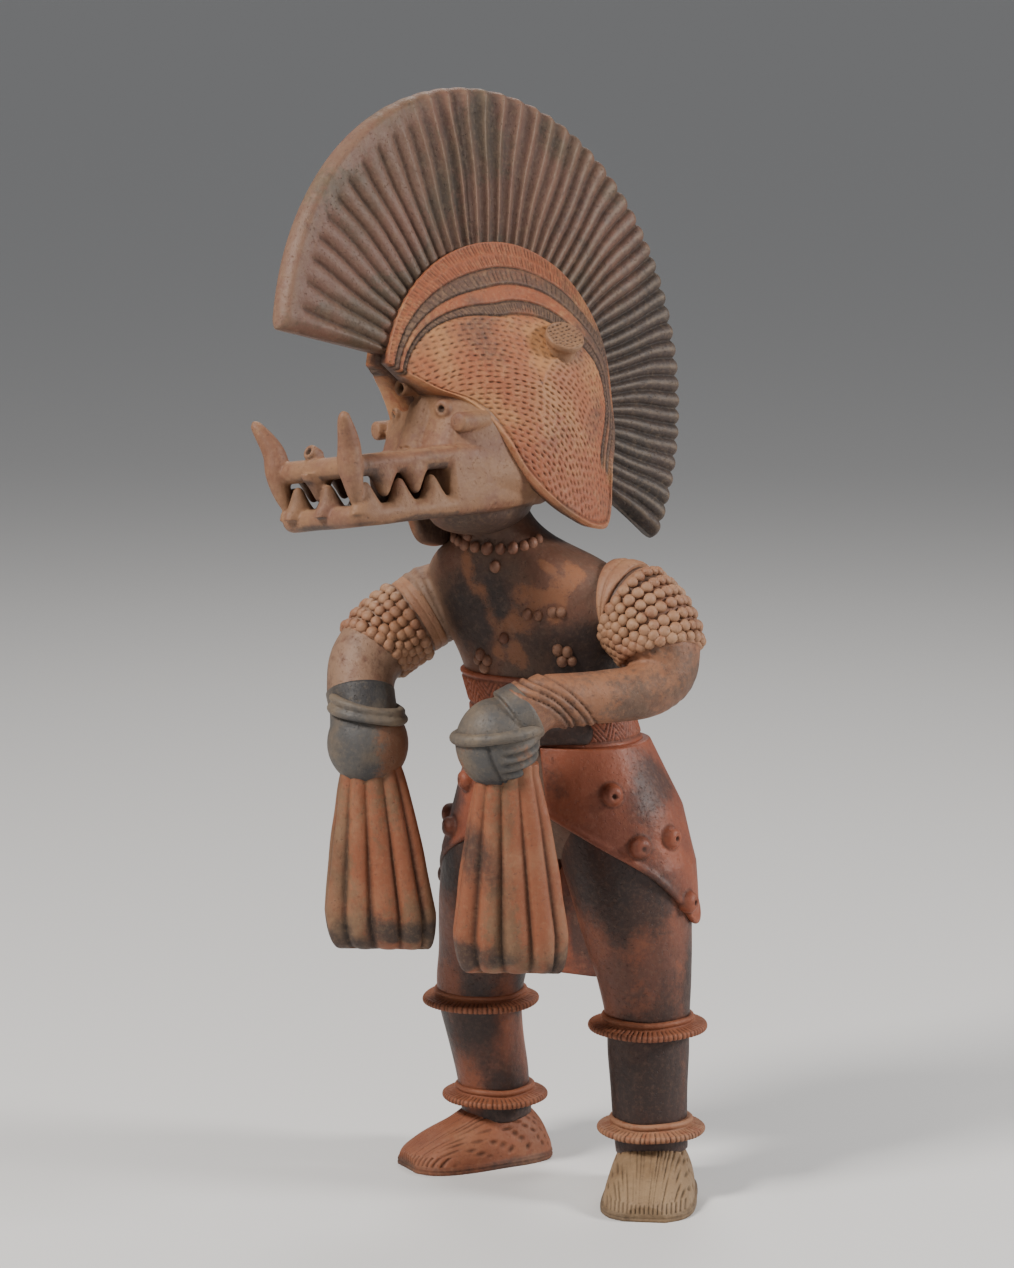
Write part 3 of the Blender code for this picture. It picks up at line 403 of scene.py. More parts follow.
def taken_from(carrier, name):
    """The finished mesh of a carrier, which is removed."""
    evaluated = carrier.evaluated_get(bpy.context.evaluated_depsgraph_get())
    mesh = bpy.data.meshes.new_from_object(evaluated)
    bpy.data.objects.remove(carrier)
    mesh.name = name
    return mesh


def melt(mesh, voxel, rounds):
    """One skin over all the forms of a mesh, with the creases where they join rubbed smooth."""
    carrier = carrier_of(mesh)
    skin = carrier.modifiers.new("one skin", "REMESH")
    skin.mode = "VOXEL"
    skin.voxel_size = voxel * MM
    rub = carrier.modifiers.new("rub", "SMOOTH")
    rub.factor = 0.5
    rub.iterations = rounds
    return taken_from(carrier, mesh.name)


def thinned(mesh, keep):
    """The same skin with only a share of its triangles, most of them where it bends."""
    carrier = carrier_of(mesh)
    fewer = carrier.modifiers.new("fewer", "DECIMATE")
    fewer.ratio = keep
    return taken_from(carrier, mesh.name)


def beside(points, base, axis):
    """How far places are from an axis, and how far along it."""
    away = points - base
    along = away @ axis
    return np.linalg.norm(away - along[:, None] * axis, axis=1), along


def mesh_places(mesh):
    """Places in the figure's millimetres, and normals, of a mesh's points."""
    count = len(mesh.vertices)
    points = np.empty(count * 3, np.float32)
    mesh.vertices.foreach_get("co", points)
    normals = np.empty(count * 3, np.float32)
    mesh.vertex_normals.foreach_get("vector", normals)
    return points.reshape(-1, 3).astype(float) / MM + BOX_CENTRE, normals.reshape(-1, 3).astype(float)


def move_points(mesh, points):
    mesh.vertices.foreach_set("co", ((points - BOX_CENTRE) * MM).astype(np.float32).ravel())
    mesh.update()


def add_field(mesh, name, values):
    """Keep one number per point for the finish to read."""
    field = mesh.attributes.new(name, "FLOAT", "POINT")
    field.data.foreach_set("value", np.asarray(values, np.float32).ravel())


def add_fields(mesh, **fields):
    """Keep the fields that the finish reads, each from 0 to 1: hollow, darkened as painted shade; proud, made paler,
    partly as painted highlight; the field of smoke and painted shade; and tint.
    """
    for name, values in fields.items():
        add_field(mesh, name, np.clip(values, 0, 1))


def stand(name, mesh, finish, keep=1.0):
    """Place a finished piece on the figure, with only a share of its triangles kept."""
    if keep < 1.0:
        mesh = thinned(mesh, keep)
    mesh.materials.clear()
    mesh.materials.append(finish)
    mesh.shade_smooth()
    piece = bpy.data.objects.new(name, mesh)
    bpy.context.scene.collection.objects.link(piece)
    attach(piece, "root")
    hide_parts("figure")
    return piece


# ---- Finishes
def clay_finish(name, ground, warm, dark, pale, patch=22.0, gloss=0.42, worn=0.35, darkening=0.3, wash=(0, 0, 0)):
    """Burnished clay: two mottled slips, smoke clouds mixed with painted shade, pale wear and painted highlights on
    raised parts, painted shade in the hollows and fine pits.
    """
    material = bpy.data.materials.new(name)
    material.use_nodes = True
    tree = material.node_tree
    shader = tree.nodes["Principled BSDF"]
    place = tree.nodes.new("ShaderNodeTexCoord").outputs["Object"]

    def noise(scale, detail=5.0, rough=0.55, shift=0.0):
        mapping = tree.nodes.new("ShaderNodeMapping")
        mapping.inputs["Location"].default_value = (shift, shift * 0.7, shift * 1.3)
        tree.links.new(place, mapping.inputs["Vector"])
        node = tree.nodes.new("ShaderNodeTexNoise")
        node.inputs["Scale"].default_value = scale
        node.inputs["Detail"].default_value = detail
        node.inputs["Roughness"].default_value = rough
        tree.links.new(mapping.outputs["Vector"], node.inputs["Vector"])
        return node.outputs["Fac"]

    def ramp(value, low, high):
        node = tree.nodes.new("ShaderNodeMapRange")
        node.interpolation_type = "SMOOTHSTEP"
        node.inputs["From Min"].default_value = low
        node.inputs["From Max"].default_value = high
        tree.links.new(value, node.inputs["Value"])
        return node.outputs["Result"]

    def math(kind, first, second):
        node = tree.nodes.new("ShaderNodeMath")
        node.operation = kind
        for slot, value in enumerate((first, second)):
            if isinstance(value, (int, float)):
                node.inputs[slot].default_value = value
            else:
                tree.links.new(value, node.inputs[slot])
        return node.outputs["Value"]

    def field(label):
        node = tree.nodes.new("ShaderNodeAttribute")
        node.attribute_name = label
        return node.outputs["Fac"]

    def over(colour, share, top):
        node = tree.nodes.new("ShaderNodeMix")
        node.data_type = "RGBA"
        node.clamp_factor = True
        if isinstance(share, (int, float)):
            node.inputs["Factor"].default_value = share
        else:
            tree.links.new(share, node.inputs["Factor"])
        for slot, value in (("A", colour), ("B", top)):
            socket = [s for s in node.inputs if s.name == slot and s.type == "RGBA"][0]
            if isinstance(value, tuple):
                socket.default_value = (*value, 1.0)
            else:
                tree.links.new(value, socket)
        return [s for s in node.outputs if s.type == "RGBA"][0]

    mottled = ramp(noise(patch), 0.40, 0.62)
    colour = over(ground, mottled, warm)
    second = field("tint")
    flaked = math("ADD", second, math("MULTIPLY", math("SUBTRACT", noise(210.0, 9.0, 0.78, 3.0), 0.5), 2.2))
    flaked = math("MULTIPLY", ramp(flaked, 0.22, 0.70), ramp(second, 0.02, 0.30))
    colour = over(colour, math("MULTIPLY", flaked, 0.92), wash)
    # smoke clouds, darkened further where a piece paints shade into the same field
    smoke_plus_shade = math("ADD", math("MULTIPLY", field("cloud"), 1.35),
                 math("MULTIPLY", noise(34.0, 6.0, 0.65, 1.0), 0.5))
    smoke_plus_shade = math("ADD", smoke_plus_shade, math("MULTIPLY", noise(190.0, 9.0, 0.78, 2.0), 0.75))
    smoke_plus_shade = ramp(math("ADD", smoke_plus_shade, darkening * 0.5), 0.82, 1.28)
    colour = over(colour, math("MULTIPLY", smoke_plus_shade, 0.86), dark)
    rubbed = ramp(noise(85.0, 7.0, 0.7, 5.0), 0.56, 0.78)
    # paler on raised parts: partly wear, partly painted highlight
    pale_and_highlight = math("MULTIPLY", field("proud"), ramp(noise(140.0, 5.0, 0.6, 8.0), 0.28, 0.55))
    colour = over(colour, math("MAXIMUM", math("MULTIPLY", rubbed, worn), math("MULTIPLY", pale_and_highlight, 0.75)),
                  pale)
    hollow = field("hollow")
    # painted shade in the hollows: sunk places take a deep tone of the dark colour
    hollow_shade = tuple(c * 0.28 for c in dark)
    colour = over(colour, math("MULTIPLY", hollow, 0.8), hollow_shade)
    speck = ramp(noise(620.0, 3.0, 0.6, 11.0), 0.60, 0.72)
    colour = over(colour, math("MULTIPLY", speck, 0.28), dark)
    grain = noise(380.0, 4.0, 0.7, 13.0)
    colour = over(colour, math("MULTIPLY", ramp(grain, 0.45, 0.75), 0.22), pale)
    tree.links.new(colour, shader.inputs["Base Color"])
    rough = math("ADD", gloss - 0.02, math("MULTIPLY", noise(130.0, 7.0, 0.7, 17.0), 0.26))
    rough = math("ADD", rough, math("MULTIPLY", hollow, 0.25))
    tree.links.new(rough, shader.inputs["Roughness"])
    shader.inputs["Specular IOR Level"].default_value = 0.36
    relief = math("ADD", math("MULTIPLY", noise(300.0, 6.0, 0.6, 19.0), 0.5),
                  math("MULTIPLY", noise(70.0, 3.0, 0.5, 23.0), 1.2))
    relief = math("SUBTRACT", relief, math("MULTIPLY", speck, 0.35))
    bump = tree.nodes.new("ShaderNodeBump")
    bump.inputs["Strength"].default_value = 0.55
    bump.inputs["Distance"].default_value = 0.0015
    tree.links.new(relief, bump.inputs["Height"])
    tree.links.new(bump.outputs["Normal"], shader.inputs["Normal"])
    return material


# ---- Crest
def flute_place(turn):
    """How many flutes lie between the crest's front end and a turn, with the part flute."""
    place = (np.arange(CREST_FLUTES) + 0.5) / CREST_FLUTES
    gaps = np.interp(place, (0.0, 0.45, 1.0), FLUTE_SPREAD)
    turns = np.concatenate(([0.0], np.cumsum(gaps)))
    grooves = radians(CREST_FROM) + turns / turns[-1] * radians(CREST_TO - CREST_FROM)
    return np.interp(turn, grooves, np.arange(CREST_FLUTES + 1))


def hood_reach(turn):
    ahead, above = HOOD_CENTRE[0] + CREST_BACK, HOOD_CENTRE[1]
    along = ahead * np.cos(turn) + above * np.sin(turn)
    return along + np.sqrt(along ** 2 - ahead ** 2 - above ** 2 + HOOD_RADIUS ** 2)


def crest():
    turn = np.linspace(radians(CREST_FROM), radians(CREST_TO), CREST_COLUMNS)[:, None]
    level = np.linspace(0.0, 1.0, CREST_ROWS)[None, :]
    inner = hood_reach(turn) - CREST_SUNK
    edge = CREST_RADIUS + CREST_RISE * np.sin(turn) ** 2
    front = 1 - soft_step(radians(62.0), radians(88.0), turn)
    back = soft_step(radians(100.0), radians(140.0), turn)
    # the flutes swirl a little where they leave the hood
    swirl = radians(3.4) * (1 - level) ** 2 * np.cos(turn) + radians(0.35) * np.sin(level * 7.0 + turn * 9.0)
    place = flute_place(turn + swirl)
    phase = place - np.floor(place)
    apart = np.abs(phase - 0.5) * 2
    channel = apart * (2 - apart)
    roll = apart ** 2.4
    groove = channel * (1 - np.maximum(front, back)) + roll * np.maximum(front, back)
    wear = 0.8 + 0.2 * scatter(np.floor(place), 1.0, 2.0)
    reach_in = inner + (edge - inner) * level
    rim = np.clip((reach_in - (edge - CREST_RIM)) / CREST_RIM, 0.0, 1.0)
    blunt = 1 - front * soft_step(0.0, 0.22, rim + 0.12 * (scatter(np.floor(place), 5.0, 1.0) - 0.5))
    deep = FLUTE_DEPTH * groove * wear * blunt * soft_step(0.0, 0.08, level + 0.02)
    half = CREST_ROOT_HALF + (CREST_HALF - CREST_ROOT_HALF) * level - deep
    half -= front * (1 - blunt) * 0.7
    half += 0.25 * drift(np.stack(np.broadcast_arrays(reach_in, turn * 90, turn * 0), -1), 14.0)
    end = np.minimum((turn - radians(CREST_FROM)) / radians(3.0), (radians(CREST_TO) - turn) / radians(2.5))
    end = np.sqrt(1 - (1 - np.clip(end, 0.0, 1.0)) ** 2 * 0.85)
    scallop = CREST_SCALLOP * roll * (0.25 + 0.75 * back) * (1 - front)
    arc = np.linspace(0.0, pi / 2, RIM_ROWS + 1)[1:][None, :]
    body = inner + (edge - CREST_RIM * 0.55 - inner) * np.linspace(0.0, 1.0, CREST_ROWS)[None, :]
    last_half = half[:, -1:]
    cap_reach = edge - CREST_RIM * 0.55 + (CREST_RIM * 0.55 - scallop[:, -1:]) * np.sin(arc)
    cap_half = last_half * np.cos(arc)
    reach = np.concatenate((body, cap_reach), axis=1)
    width = np.concatenate((half, cap_half), axis=1) * end
    sunk = np.concatenate((deep, deep[:, -1:] * np.cos(arc)), axis=1) / FLUTE_DEPTH
    far = np.concatenate((level + 0 * turn, 1.0 + 0 * cap_half), axis=1)
    forward = reach * np.cos(turn) - CREST_BACK
    up = reach * np.sin(turn)
    left_side = head_points(forward, width, up)
    right_side = head_points(forward[:, -2::-1], -width[:, -2::-1], up[:, -2::-1])
    ring = np.concatenate((left_side, right_side), axis=1)
    clay = Clay()
    clay.loft(ring)
    mesh = outward(clay.mesh("crest"))

    def both(values):
        values = np.concatenate((values, values[:, -2::-1]), axis=1)
        return np.concatenate((values.ravel(), (0.0, 0.0)))

    ridge = 0.45 * np.clip(1.1 - 3.2 * np.concatenate((apart + 0 * half, apart[:, -1:] + 0 * cap_half),
                                                      axis=1), 0.0, 1.0)
    at = np.concatenate((ring.reshape(-1, 3), ring[0].mean(axis=0)[None], ring[-1].mean(axis=0)[None]))
    # painted shade in the flute grooves through hollow; painted highlight on the flute ridges and the outer rim
    # through proud
    add_field(mesh, "hollow", both(np.clip(sunk * 1.25 - 0.45, 0.0, 1.0)))
    add_field(mesh, "proud", both(np.clip(ridge * (1 - front) * 0.8
                                          + soft_step(0.93, 1.0, far) * (0.10 + 0.15 * front), 0, 1)))
    darker = soft_step(radians(95.0), radians(190.0), turn) * 0.55 + 0 * far
    add_field(mesh, "cloud", np.clip(both(darker) + 0.2 * drift(at, 26.0), 0.0, 1.0))
    add_field(mesh, "tint", np.clip(0.5 + 0.9 * drift(at, 17.0, 3.0), 0.0, 1.0))
    return stand("crest", mesh, CREST_CLAY)


# ---- Hood
def hood_half(forward, up, side):
    ahead, above = forward - HOOD_CENTRE[0], up - HOOD_CENTRE[1]
    high = np.maximum(above, 0.0)
    reach = np.hypot(ahead, high)
    level = np.where(ahead > 0, HOOD_BROW_LEAN if side > 0 else RIGHT_BROW_LEAN, HOOD_NAPE_LEAN)
    flat = (ahead / np.maximum(reach, 0.001)) ** 2
    lean = HOOD_TOP_LEAN + (level - HOOD_TOP_LEAN) * np.where(above > 0, flat, 1.0)
    share = np.minimum(reach / HOOD_RADIUS, 1.0)
    return CREST_HALF + (HOOD_HALF - CREST_HALF) * (1 - share ** lean)


def hood_edge(count, side):
    """The hood's outline, forward and up, as evenly spaced points of a smooth loop."""
    turns = np.radians(np.linspace(*HOOD_ARC, 40))
    arc = HOOD_CENTRE + HOOD_RADIUS * np.stack((np.cos(turns), np.sin(turns)), axis=1)
    outline = FLAP_EDGE if side > 0 else RIGHT_FLAP_EDGE
    flap = flowing([(f, u, 0.0) for f, u in (arc[-1], *outline, arc[0])], 120)[1:-1, :2]
    loop = np.concatenate((arc, flap, arc[:1]))
    run = np.concatenate(([0.0], np.cumsum(np.linalg.norm(np.diff(loop, axis=0), axis=1))))
    at = np.linspace(0.0, run[-1], count, endpoint=False)
    return np.stack([np.interp(at, run, loop[:, k]) for k in range(2)], axis=1)


def hood(side, name, columns, rows):
    """One half of the hood: bands of cut strokes under the crest, then a flap of punched dashes with a rolled edge."""
    edge = hood_edge(columns, side)
    share = np.concatenate((np.linspace(0.02, 0.97, rows),
                            0.97 + 0.03 * np.sin(np.linspace(0, pi / 2, 7)[1:])))
    away = edge - HOOD_CENTRE
    plan = HOOD_CENTRE + away[None] * share[:, None, None]
    forward, up = plan[..., 0], plan[..., 1]
    half = hood_half(forward, up, side)
    spin = np.arctan2(away[:, 1], away[:, 0])[None, :] + 0 * share[:, None]
    spin = np.where(spin < -pi / 2, spin + 2 * pi, spin)
    far = np.linalg.norm(away, axis=1)[None, :]
    from_edge = (1 - share[:, None]) * far
    # bands run from the brow over the top and narrow towards the nape
    narrow = 1 - 0.60 * soft_step(radians(135.0), radians(208.0), spin) - 0.76 * soft_step(radians(82.0),
                                                                                           radians(10.0),
                                                                                           spin)
    banded = soft_step(radians(-14.0), radians(-11.0),
                       spin) * (1 - soft_step(radians(224.0), radians(232.0), spin))
    rolled = 1 - soft_step(radians(8.0), radians(14.0),
                           spin) * (1 - soft_step(radians(212.0), radians(226.0), spin))
    round_in = np.where(spin < pi / 2, 1 - share[:, None] * far / HOOD_RADIUS, 1 - share[:, None])
    depth_in = round_in / narrow
    scale = HOOD_RADIUS * narrow
    relief, hollow, tint, cloud = (np.zeros_like(half) for _ in range(4))
    at = head_points(forward, side * half, up)
    waver = drift(at, 11.0, 1.0)
    bounds = [1 - b for b in HOOD_BANDS]
    for bound in bounds[1:]:
        gap = (depth_in - bound) * scale + 0.35 * waver
        line = np.exp(-(gap / 0.65) ** 2) * banded
        relief -= 1.15 * line
        hollow = np.maximum(hollow, line)
        relief += 0.45 * soft_step(-0.4, 0.6, -gap) * banded
    arc_length = spin * HOOD_RADIUS
    # strokes of each band: spacing, length, width and rows
    strokes = ((2.3, 5.6, 0.85, 2.0), (4.3, 5.5, 0.9, 1.0), None, (3.1, 4.4, 0.8, 1.0))
    colours = ((0.95, 0.02), (0.38, 0.40), (0.85, 0.10), (0.10, 0.46))
    for k, stroke in enumerate(strokes):
        inside = (depth_in - bounds[k]) / (bounds[k + 1] - bounds[k])
        if stroke:
            pitch, long, thick, lines = stroke
            lane = np.floor(np.clip(inside, 0.0, 0.999) * lines)
            column = np.floor(arc_length / pitch + 0.5 * lane)
            jog = 0.4 * (scatter(column, lane + k, 3.0) - 0.5)
            off = (arc_length / pitch + 0.5 * lane - column - 0.5 + jog) * pitch
            wide = scale * (bounds[k + 1] - bounds[k])
            middle = (lane + 0.5) / lines + 0.10 * (scatter(column, lane, 5.0) - 0.5)
            along = (inside - middle) * wide
            reach = np.maximum(np.abs(off) * 2 / thick,
                               np.abs(along) * 2 / np.minimum(long, 0.72 * wide / lines))
            mark = np.clip(1.6 - reach, 0.0, 1.0) * banded * (inside > 0.04) * (inside < 0.96)
            mark *= 0.5 + 0.5 * scatter(column, lane, 9.0)
            relief -= 0.75 * mark
            hollow = np.maximum(hollow, 0.9 * mark)
        zone = soft_step(-0.02, 0.02, inside) * (1 - soft_step(0.98, 1.02, inside)) * banded
        upper = 1 - soft_step(radians(100.0), radians(160.0), spin)
        lower = soft_step(radians(30.0), radians(60.0), spin)
        tint = np.maximum(tint, zone * colours[k][0] * (0.30 + 0.70 * upper) * (0.55 + 0.45 * lower))
        cloud = np.maximum(cloud, zone * (colours[k][1] + 0.30 * (1 - upper) + 0.22 * (1 - lower)
                                          + 0.22 * waver))
    cap = 1 - soft_step(-0.02, 0.02, bounds[-1] - depth_in) * banded
    angle = np.arctan2(up - DASH_CENTRE[1], forward - DASH_CENTRE[0])
    radius = np.hypot(up - DASH_CENTRE[1], forward - DASH_CENTRE[0]) + 0.7 * waver
    ring_radius = (np.floor(radius / DASH_PITCH[1]) + 0.5) * DASH_PITCH[1]
    punched = dashes(ring_radius * angle, radius, DASH_PITCH, DASH_SIZE, float(side))
    punched *= cap * soft_step(2.6, 4.0, from_edge + 10 * (1 - rolled))
    if side < 0:
        punched *= 1 - soft_step(-66.0, -72.0, up)
    relief -= DASH_DEPTH * punched
    hollow = np.maximum(hollow, 0.95 * punched)
    relief += 1.1 * np.exp(-((from_edge - 1.6) / 1.5) ** 2) * rolled
    groove_in = np.exp(-((from_edge - 4.2) / 0.7) ** 2) * rolled
    relief -= 0.6 * groove_in
    hollow = np.maximum(hollow, 0.6 * groove_in)
    relief += 0.4 * waver
    turned_in = soft_step(0.97, 1.0, share)[:, None] * rolled
    half = half + relief - 1.2 * turned_in
    outer = head_points(forward, side * half, up)
    inner_rows = []
    for s in (0.985, 0.93, 0.7, 0.4, 0.1):
        f, u = HOOD_CENTRE[0] + away[:, 0] * s, HOOD_CENTRE[1] + away[:, 1] * s
        open_below = np.clip((-34.0 - u) / 16.0, 0.0, 1.0)
        inner = np.maximum(1.5, (hood_half(f, u, side) - HOOD_WALL) * open_below)
        inner_rows.append(head_points(f, side * inner, u))
    ring = np.concatenate((outer, np.array(inner_rows)))
    clay = Clay()
    clay.loft(ring)
    mesh = outward(clay.mesh(name))
    spare = len(inner_rows) * columns + 2

    def all_of(values, rest=0.0):
        return np.clip(np.concatenate((values.ravel(), np.full(spare, rest))), 0, 1)

    lower_flap = soft_step(0.0, -62.0, up)
    rosy = cap * (0.15 + 0.75 * lower_flap + 0.35 * drift(at, 17.0, 2.0))
    # painted shade in the band lines, cut strokes, punched dashes and the groove inside the rolled edge through hollow
    add_field(mesh, "hollow", all_of(hollow))
    add_field(mesh, "proud", all_of(0.45 * rolled * np.exp(-((from_edge - 1.0) / 1.5) ** 2)))
    add_field(mesh, "cloud", all_of(cloud + cap * (0.12 + 0.30 * drift(at, 13.0, 4.0)), 0.5))
    add_field(mesh, "tint", all_of(tint + rosy, 0.6))
    return stand(name, mesh, HOOD_CLAY, 0.8 if side > 0 else 0.7)


def plug_seat(side):
    """Where a plug stands and which way it points."""
    forward, left, up = PLUG_PLACE
    return head_points(forward, side * left, up), unit(side * LEFT + 0.95 * UP + 0.18 * FORWARD)


def ear_plugs():
    """A punched disc on a thick stem, standing out of each side of the hood."""
    clay = Clay()
    for side in (1, -1):
        base, out = plug_seat(side)
        profile = [(-8, 9.0), (3, 9.0), (5, 9.2), (6.6, 10.0), (7.6, 10.8), (10.0, 10.9), (11.0, 10.4),
                   (11.2, 9.6)]
        profile += [(10.5, 8.7), (10.3, 5.0), (10.4, 2.0), (10.4, 0.5)]
        clay.lathe(base, out, profile, 48)
    mesh = melt(outward(clay.mesh("ear_plugs")), 0.45, 1)
    points, normals = mesh_places(mesh)
    hollow = np.zeros(len(points))
    for side in (1, -1):
        base, out = plug_seat(side)
        away = points - base
        face = soft_step(0.75, 0.95, normals @ out) * (away @ out > 9.0) * (np.linalg.norm(away, axis=1) < 30)
        across = unit(np.cross(out, STRAIGHT_UP))
        a, b = away @ across, away @ np.cross(out, across)
        prick = dashes(a + 0.5 * b, b - 0.3 * a, (3.3, 2.4), (2.3, 1.0), 9.0)
        hollow = np.maximum(hollow, face * prick)
    move_points(mesh, points - normals * hollow[:, None] * 1.0)
    # painted shade in the pricked dashes through hollow
    add_field(mesh, "hollow", hollow)
    stand("ear_plugs", mesh, MASK_CLAY, 0.35)


# ---- Mask and snout
def mask_core(clay):
    turns = turns_of(64)
    c, s = np.cos(turns), np.sin(turns)
    reach = squared(c, s, MASK_SQUARE)
    rings = []
    for up, front, back, half in flowing_levels(MASK_LEVELS, 40):
        f = (front + back) / 2 + reach * c * (front - back) / 2
        fuller = 1 + FAR_CHEEK * np.exp(-((up + 8.0) / 18.0) ** 2) * (s < 0)
        rings.append(head_points(f, reach * s * half * fuller, up))
    clay.loft(rings)


def jaw(clay, level, plate_top):
    front, half, corner = SNOUT_FRONT - JAW_BAR * 0.5, SNOUT_HALF, 7.0
    bends = [(front - corner + corner * sin(a), half - corner + corner * cos(a)) for a in np.linspace(0,
                                                                                                      pi / 2, 6)]
    route = [(SNOUT_ROOT, half), (80.0, half)] + bends
    route += [(f, -w) for f, w in reversed(route)]
    stations = [(*head_points(f, w, level), JAW_BAR) for f, w in route]
    clay.tube(stations, UP, 24)
    plate = []
    for f in (SNOUT_ROOT - 6.0, front - corner, front):
        w = half if f < front else half - corner
        corners = ((w, plate_top), (-w, plate_top), (-w, plate_top - JAW_PLATE), (w, plate_top - JAW_PLATE))
        plate.append([head_points(f, a, u) for a, u in corners])
    clay.loft(plate)


def tooth(clay, forward, left, upper):
    """A blunt, slightly flattened cone pinched out of a jaw."""
    root = UPPER_JAW - JAW_BAR + 1 if upper else LOWER_JAW + JAW_BAR - 1
    length = UPPER_TOOTH if upper else LOWER_TOOTH
    profile = ((-0.3, 2.0), (0.0, 1.75), (0.12, 1.45), (0.28, 1.15), (0.55, 0.84), (0.82, 0.56), (0.94, 0.38),
               (1.0, 0.14))
    long, wide = TOOTH_SIZE
    turns = turns_of(20)
    rings = []
    for rise, girth in profile:
        centre = head_points(forward, left, root + rise * length)
        rings.append(centre + spokes(turns, long * girth * FORWARD, min(wide * girth, long) * LEFT))
    clay.loft(rings)


def eye_seat(side):
    """Where an eye sits and which way it looks."""
    forward, left, up = EYE_AT
    return head_points(forward, side * left, up), unit(FORWARD + EYE_LOOKS_OUT * side * LEFT)


def mask():
    """The animal face with its long open mouth, teeth, tusks, ringed eyes and pegs."""
    clay = Clay()
    mask_core(clay)
    jaw(clay, UPPER_JAW, UPPER_JAW + JAW_BAR)
    jaw(clay, LOWER_JAW, LOWER_JAW + 1.0)
    for side in (1, -1):
        for forward in UPPER_TEETH:
            tooth(clay, forward, side * SNOUT_HALF, True)
        for forward in LOWER_TEETH:
            tooth(clay, forward, side * SNOUT_HALF, False)
        tusk = (
            (SNOUT_FRONT - 4, 29, UPPER_JAW - 23, 1.8), (SNOUT_FRONT - 2.5, 30, UPPER_JAW - 16, 3.8),
            (SNOUT_FRONT - 1, 31, UPPER_JAW - 8, 5.4), (SNOUT_FRONT, 31, UPPER_JAW + 1, 6.8),
            (SNOUT_FRONT, 32, UPPER_JAW + 10, 6.3), (SNOUT_FRONT + 2, 34, UPPER_JAW + 17, 5.2),
            (SNOUT_FRONT + 5, 36.5, UPPER_JAW + 24, 3.7), (SNOUT_FRONT + 6.5, 38, UPPER_JAW + 28, 2.2),
            (SNOUT_FRONT + 7, 38, UPPER_JAW + 29.2, 0.8),
        )
        stations = [(*head_points(f, side * w, u), r) for f, w, u, r in tusk]
        clay.tube(flowing(stations, 26), LEFT, 24)
        eye, looks = eye_seat(side)
        clay.lathe(eye, looks, ((-3, 4.6), (1.5, 5.0), (3.0, 4.8), (3.9, 4.2), (4.3, 3.2), (4.2, 2.4),
                                (3.2, 1.7),
                                (1.2, 1.3), (0.6, 0.5)), 32)
        peg = head_points(*(NEAR_PEG if side > 0 else FAR_PEG))
        clay.lathe(peg, FORWARD + PEG_LEANS_OUT * side * LEFT,
                   ((-6, 5.4), (8, 5.1), (13, 5.3), (15.4, 5.3), (16.3, 4.7), (16.5, 2.5)), 32)
    clay.lathe(head_points(*NOSTRIL), FORWARD + NOSTRIL_LEANS_UP * UP,
               ((-3, 4.2), (2.4, 4.5), (4.2, 4.3), (5.2, 3.4), (5.1, 2.5), (4.2, 1.7), (2.2, 1.2)), 24)
    clay.tube(flowing([(*head_points(f, w, u), r) for f, w, u, r in NOSE_RIDGE], 24), LEFT, 24, 1.2)
    front = SNOUT_FRONT - JAW_BAR * 0.5
    tooth(clay, front, 0.0, True)
    for left in LOWER_FRONT_TEETH:
        tooth(clay, front, left, False)
    clay.lathe(head_points(*BROW_TUBE), FORWARD,
               ((-4, 5.6), (8, 5.0), (13, 4.8), (15, 4.6), (15.6, 3.8), (15.4, 2.9), (13.4, 2.4),
                (9, 2.2)), 32)
    # the cheeks run on into the jaws without a step
    cheek = []
    c, s = np.cos(turns_of(48)), np.sin(turns_of(48))
    reach = squared(c, s, CHEEK_SQUARE)
    for forward, half in CHEEK:
        tall = 19.0 if forward < 54 else 17.0
        cheek.append(head_points(forward, reach * c * half, (UPPER_JAW + LOWER_JAW) / 2 + reach * s * tall))
    clay.loft(cheek)
    # the throat under the mask
    clay.ellipsoid(head_points(8.0, 0.0, -68.0), 30.0 * FORWARD, 27.0 * LEFT, 15.0 * UP, 40, 20)
    mesh = melt(outward(clay.mesh("mask")), 0.85, 4)
    points, normals = mesh_places(mesh)
    forward, left, up = head_parts(points)
    points = points + normals * (0.3 * drift(points, 9.0))[:, None]
    move_points(mesh, points)
    # painted shade: the inside of the open mouth and the holes of the eyes, nostril and brow tube darken through
    # hollow
    mouth = soft_step(56.0, 60.0, forward) * soft_step(4.0, 12.0, np.minimum(UPPER_JAW - up, up - LOWER_JAW))
    hollow = 0.0 * forward
    for side in (1, -1):
        pits = ((*eye_seat(side), 5.1), (head_points(*NOSTRIL), unit(FORWARD + NOSTRIL_LEANS_UP * UP), 5.9),
                (head_points(*BROW_TUBE), FORWARD, 16.1))
        for spot, axis, deep in pits:
            off, along = beside(points, spot, axis)
            hollow = np.maximum(hollow, soft_step(2.6, 1.6, off) * (along > -1) * (along < deep))
    # painted shade: faces of the snout that look downwards are darkened
    shade_underneath = soft_step(-0.2, -0.75, normals @ UP) * (forward > 52)
    snout = soft_step(44.0, 60.0, forward)
    throat = soft_step(-62.0, -70.0, up) * (forward < 54)
    # darker towards the bottom of the throat
    darkening = soft_step(-66.0, -73.0, up) * (forward < 54)
    # painted highlight: faces of the snout that look upwards are made paler through proud
    add_fields(mesh, hollow=hollow + 0.35 * mouth * (np.abs(left) < 25),
               cloud=0.35 * shade_underneath + 0.45 * darkening + 0.35 * drift(points, 12.0, 7.0),
               tint=0.22 * snout + 0.55 * throat + 0.6 * drift(points, 15.0),
               proud=0.5 * soft_step(0.6, 0.95, normals @ UP) * (forward > 50))
    stand("mask", mesh, MASK_CLAY, 0.36)


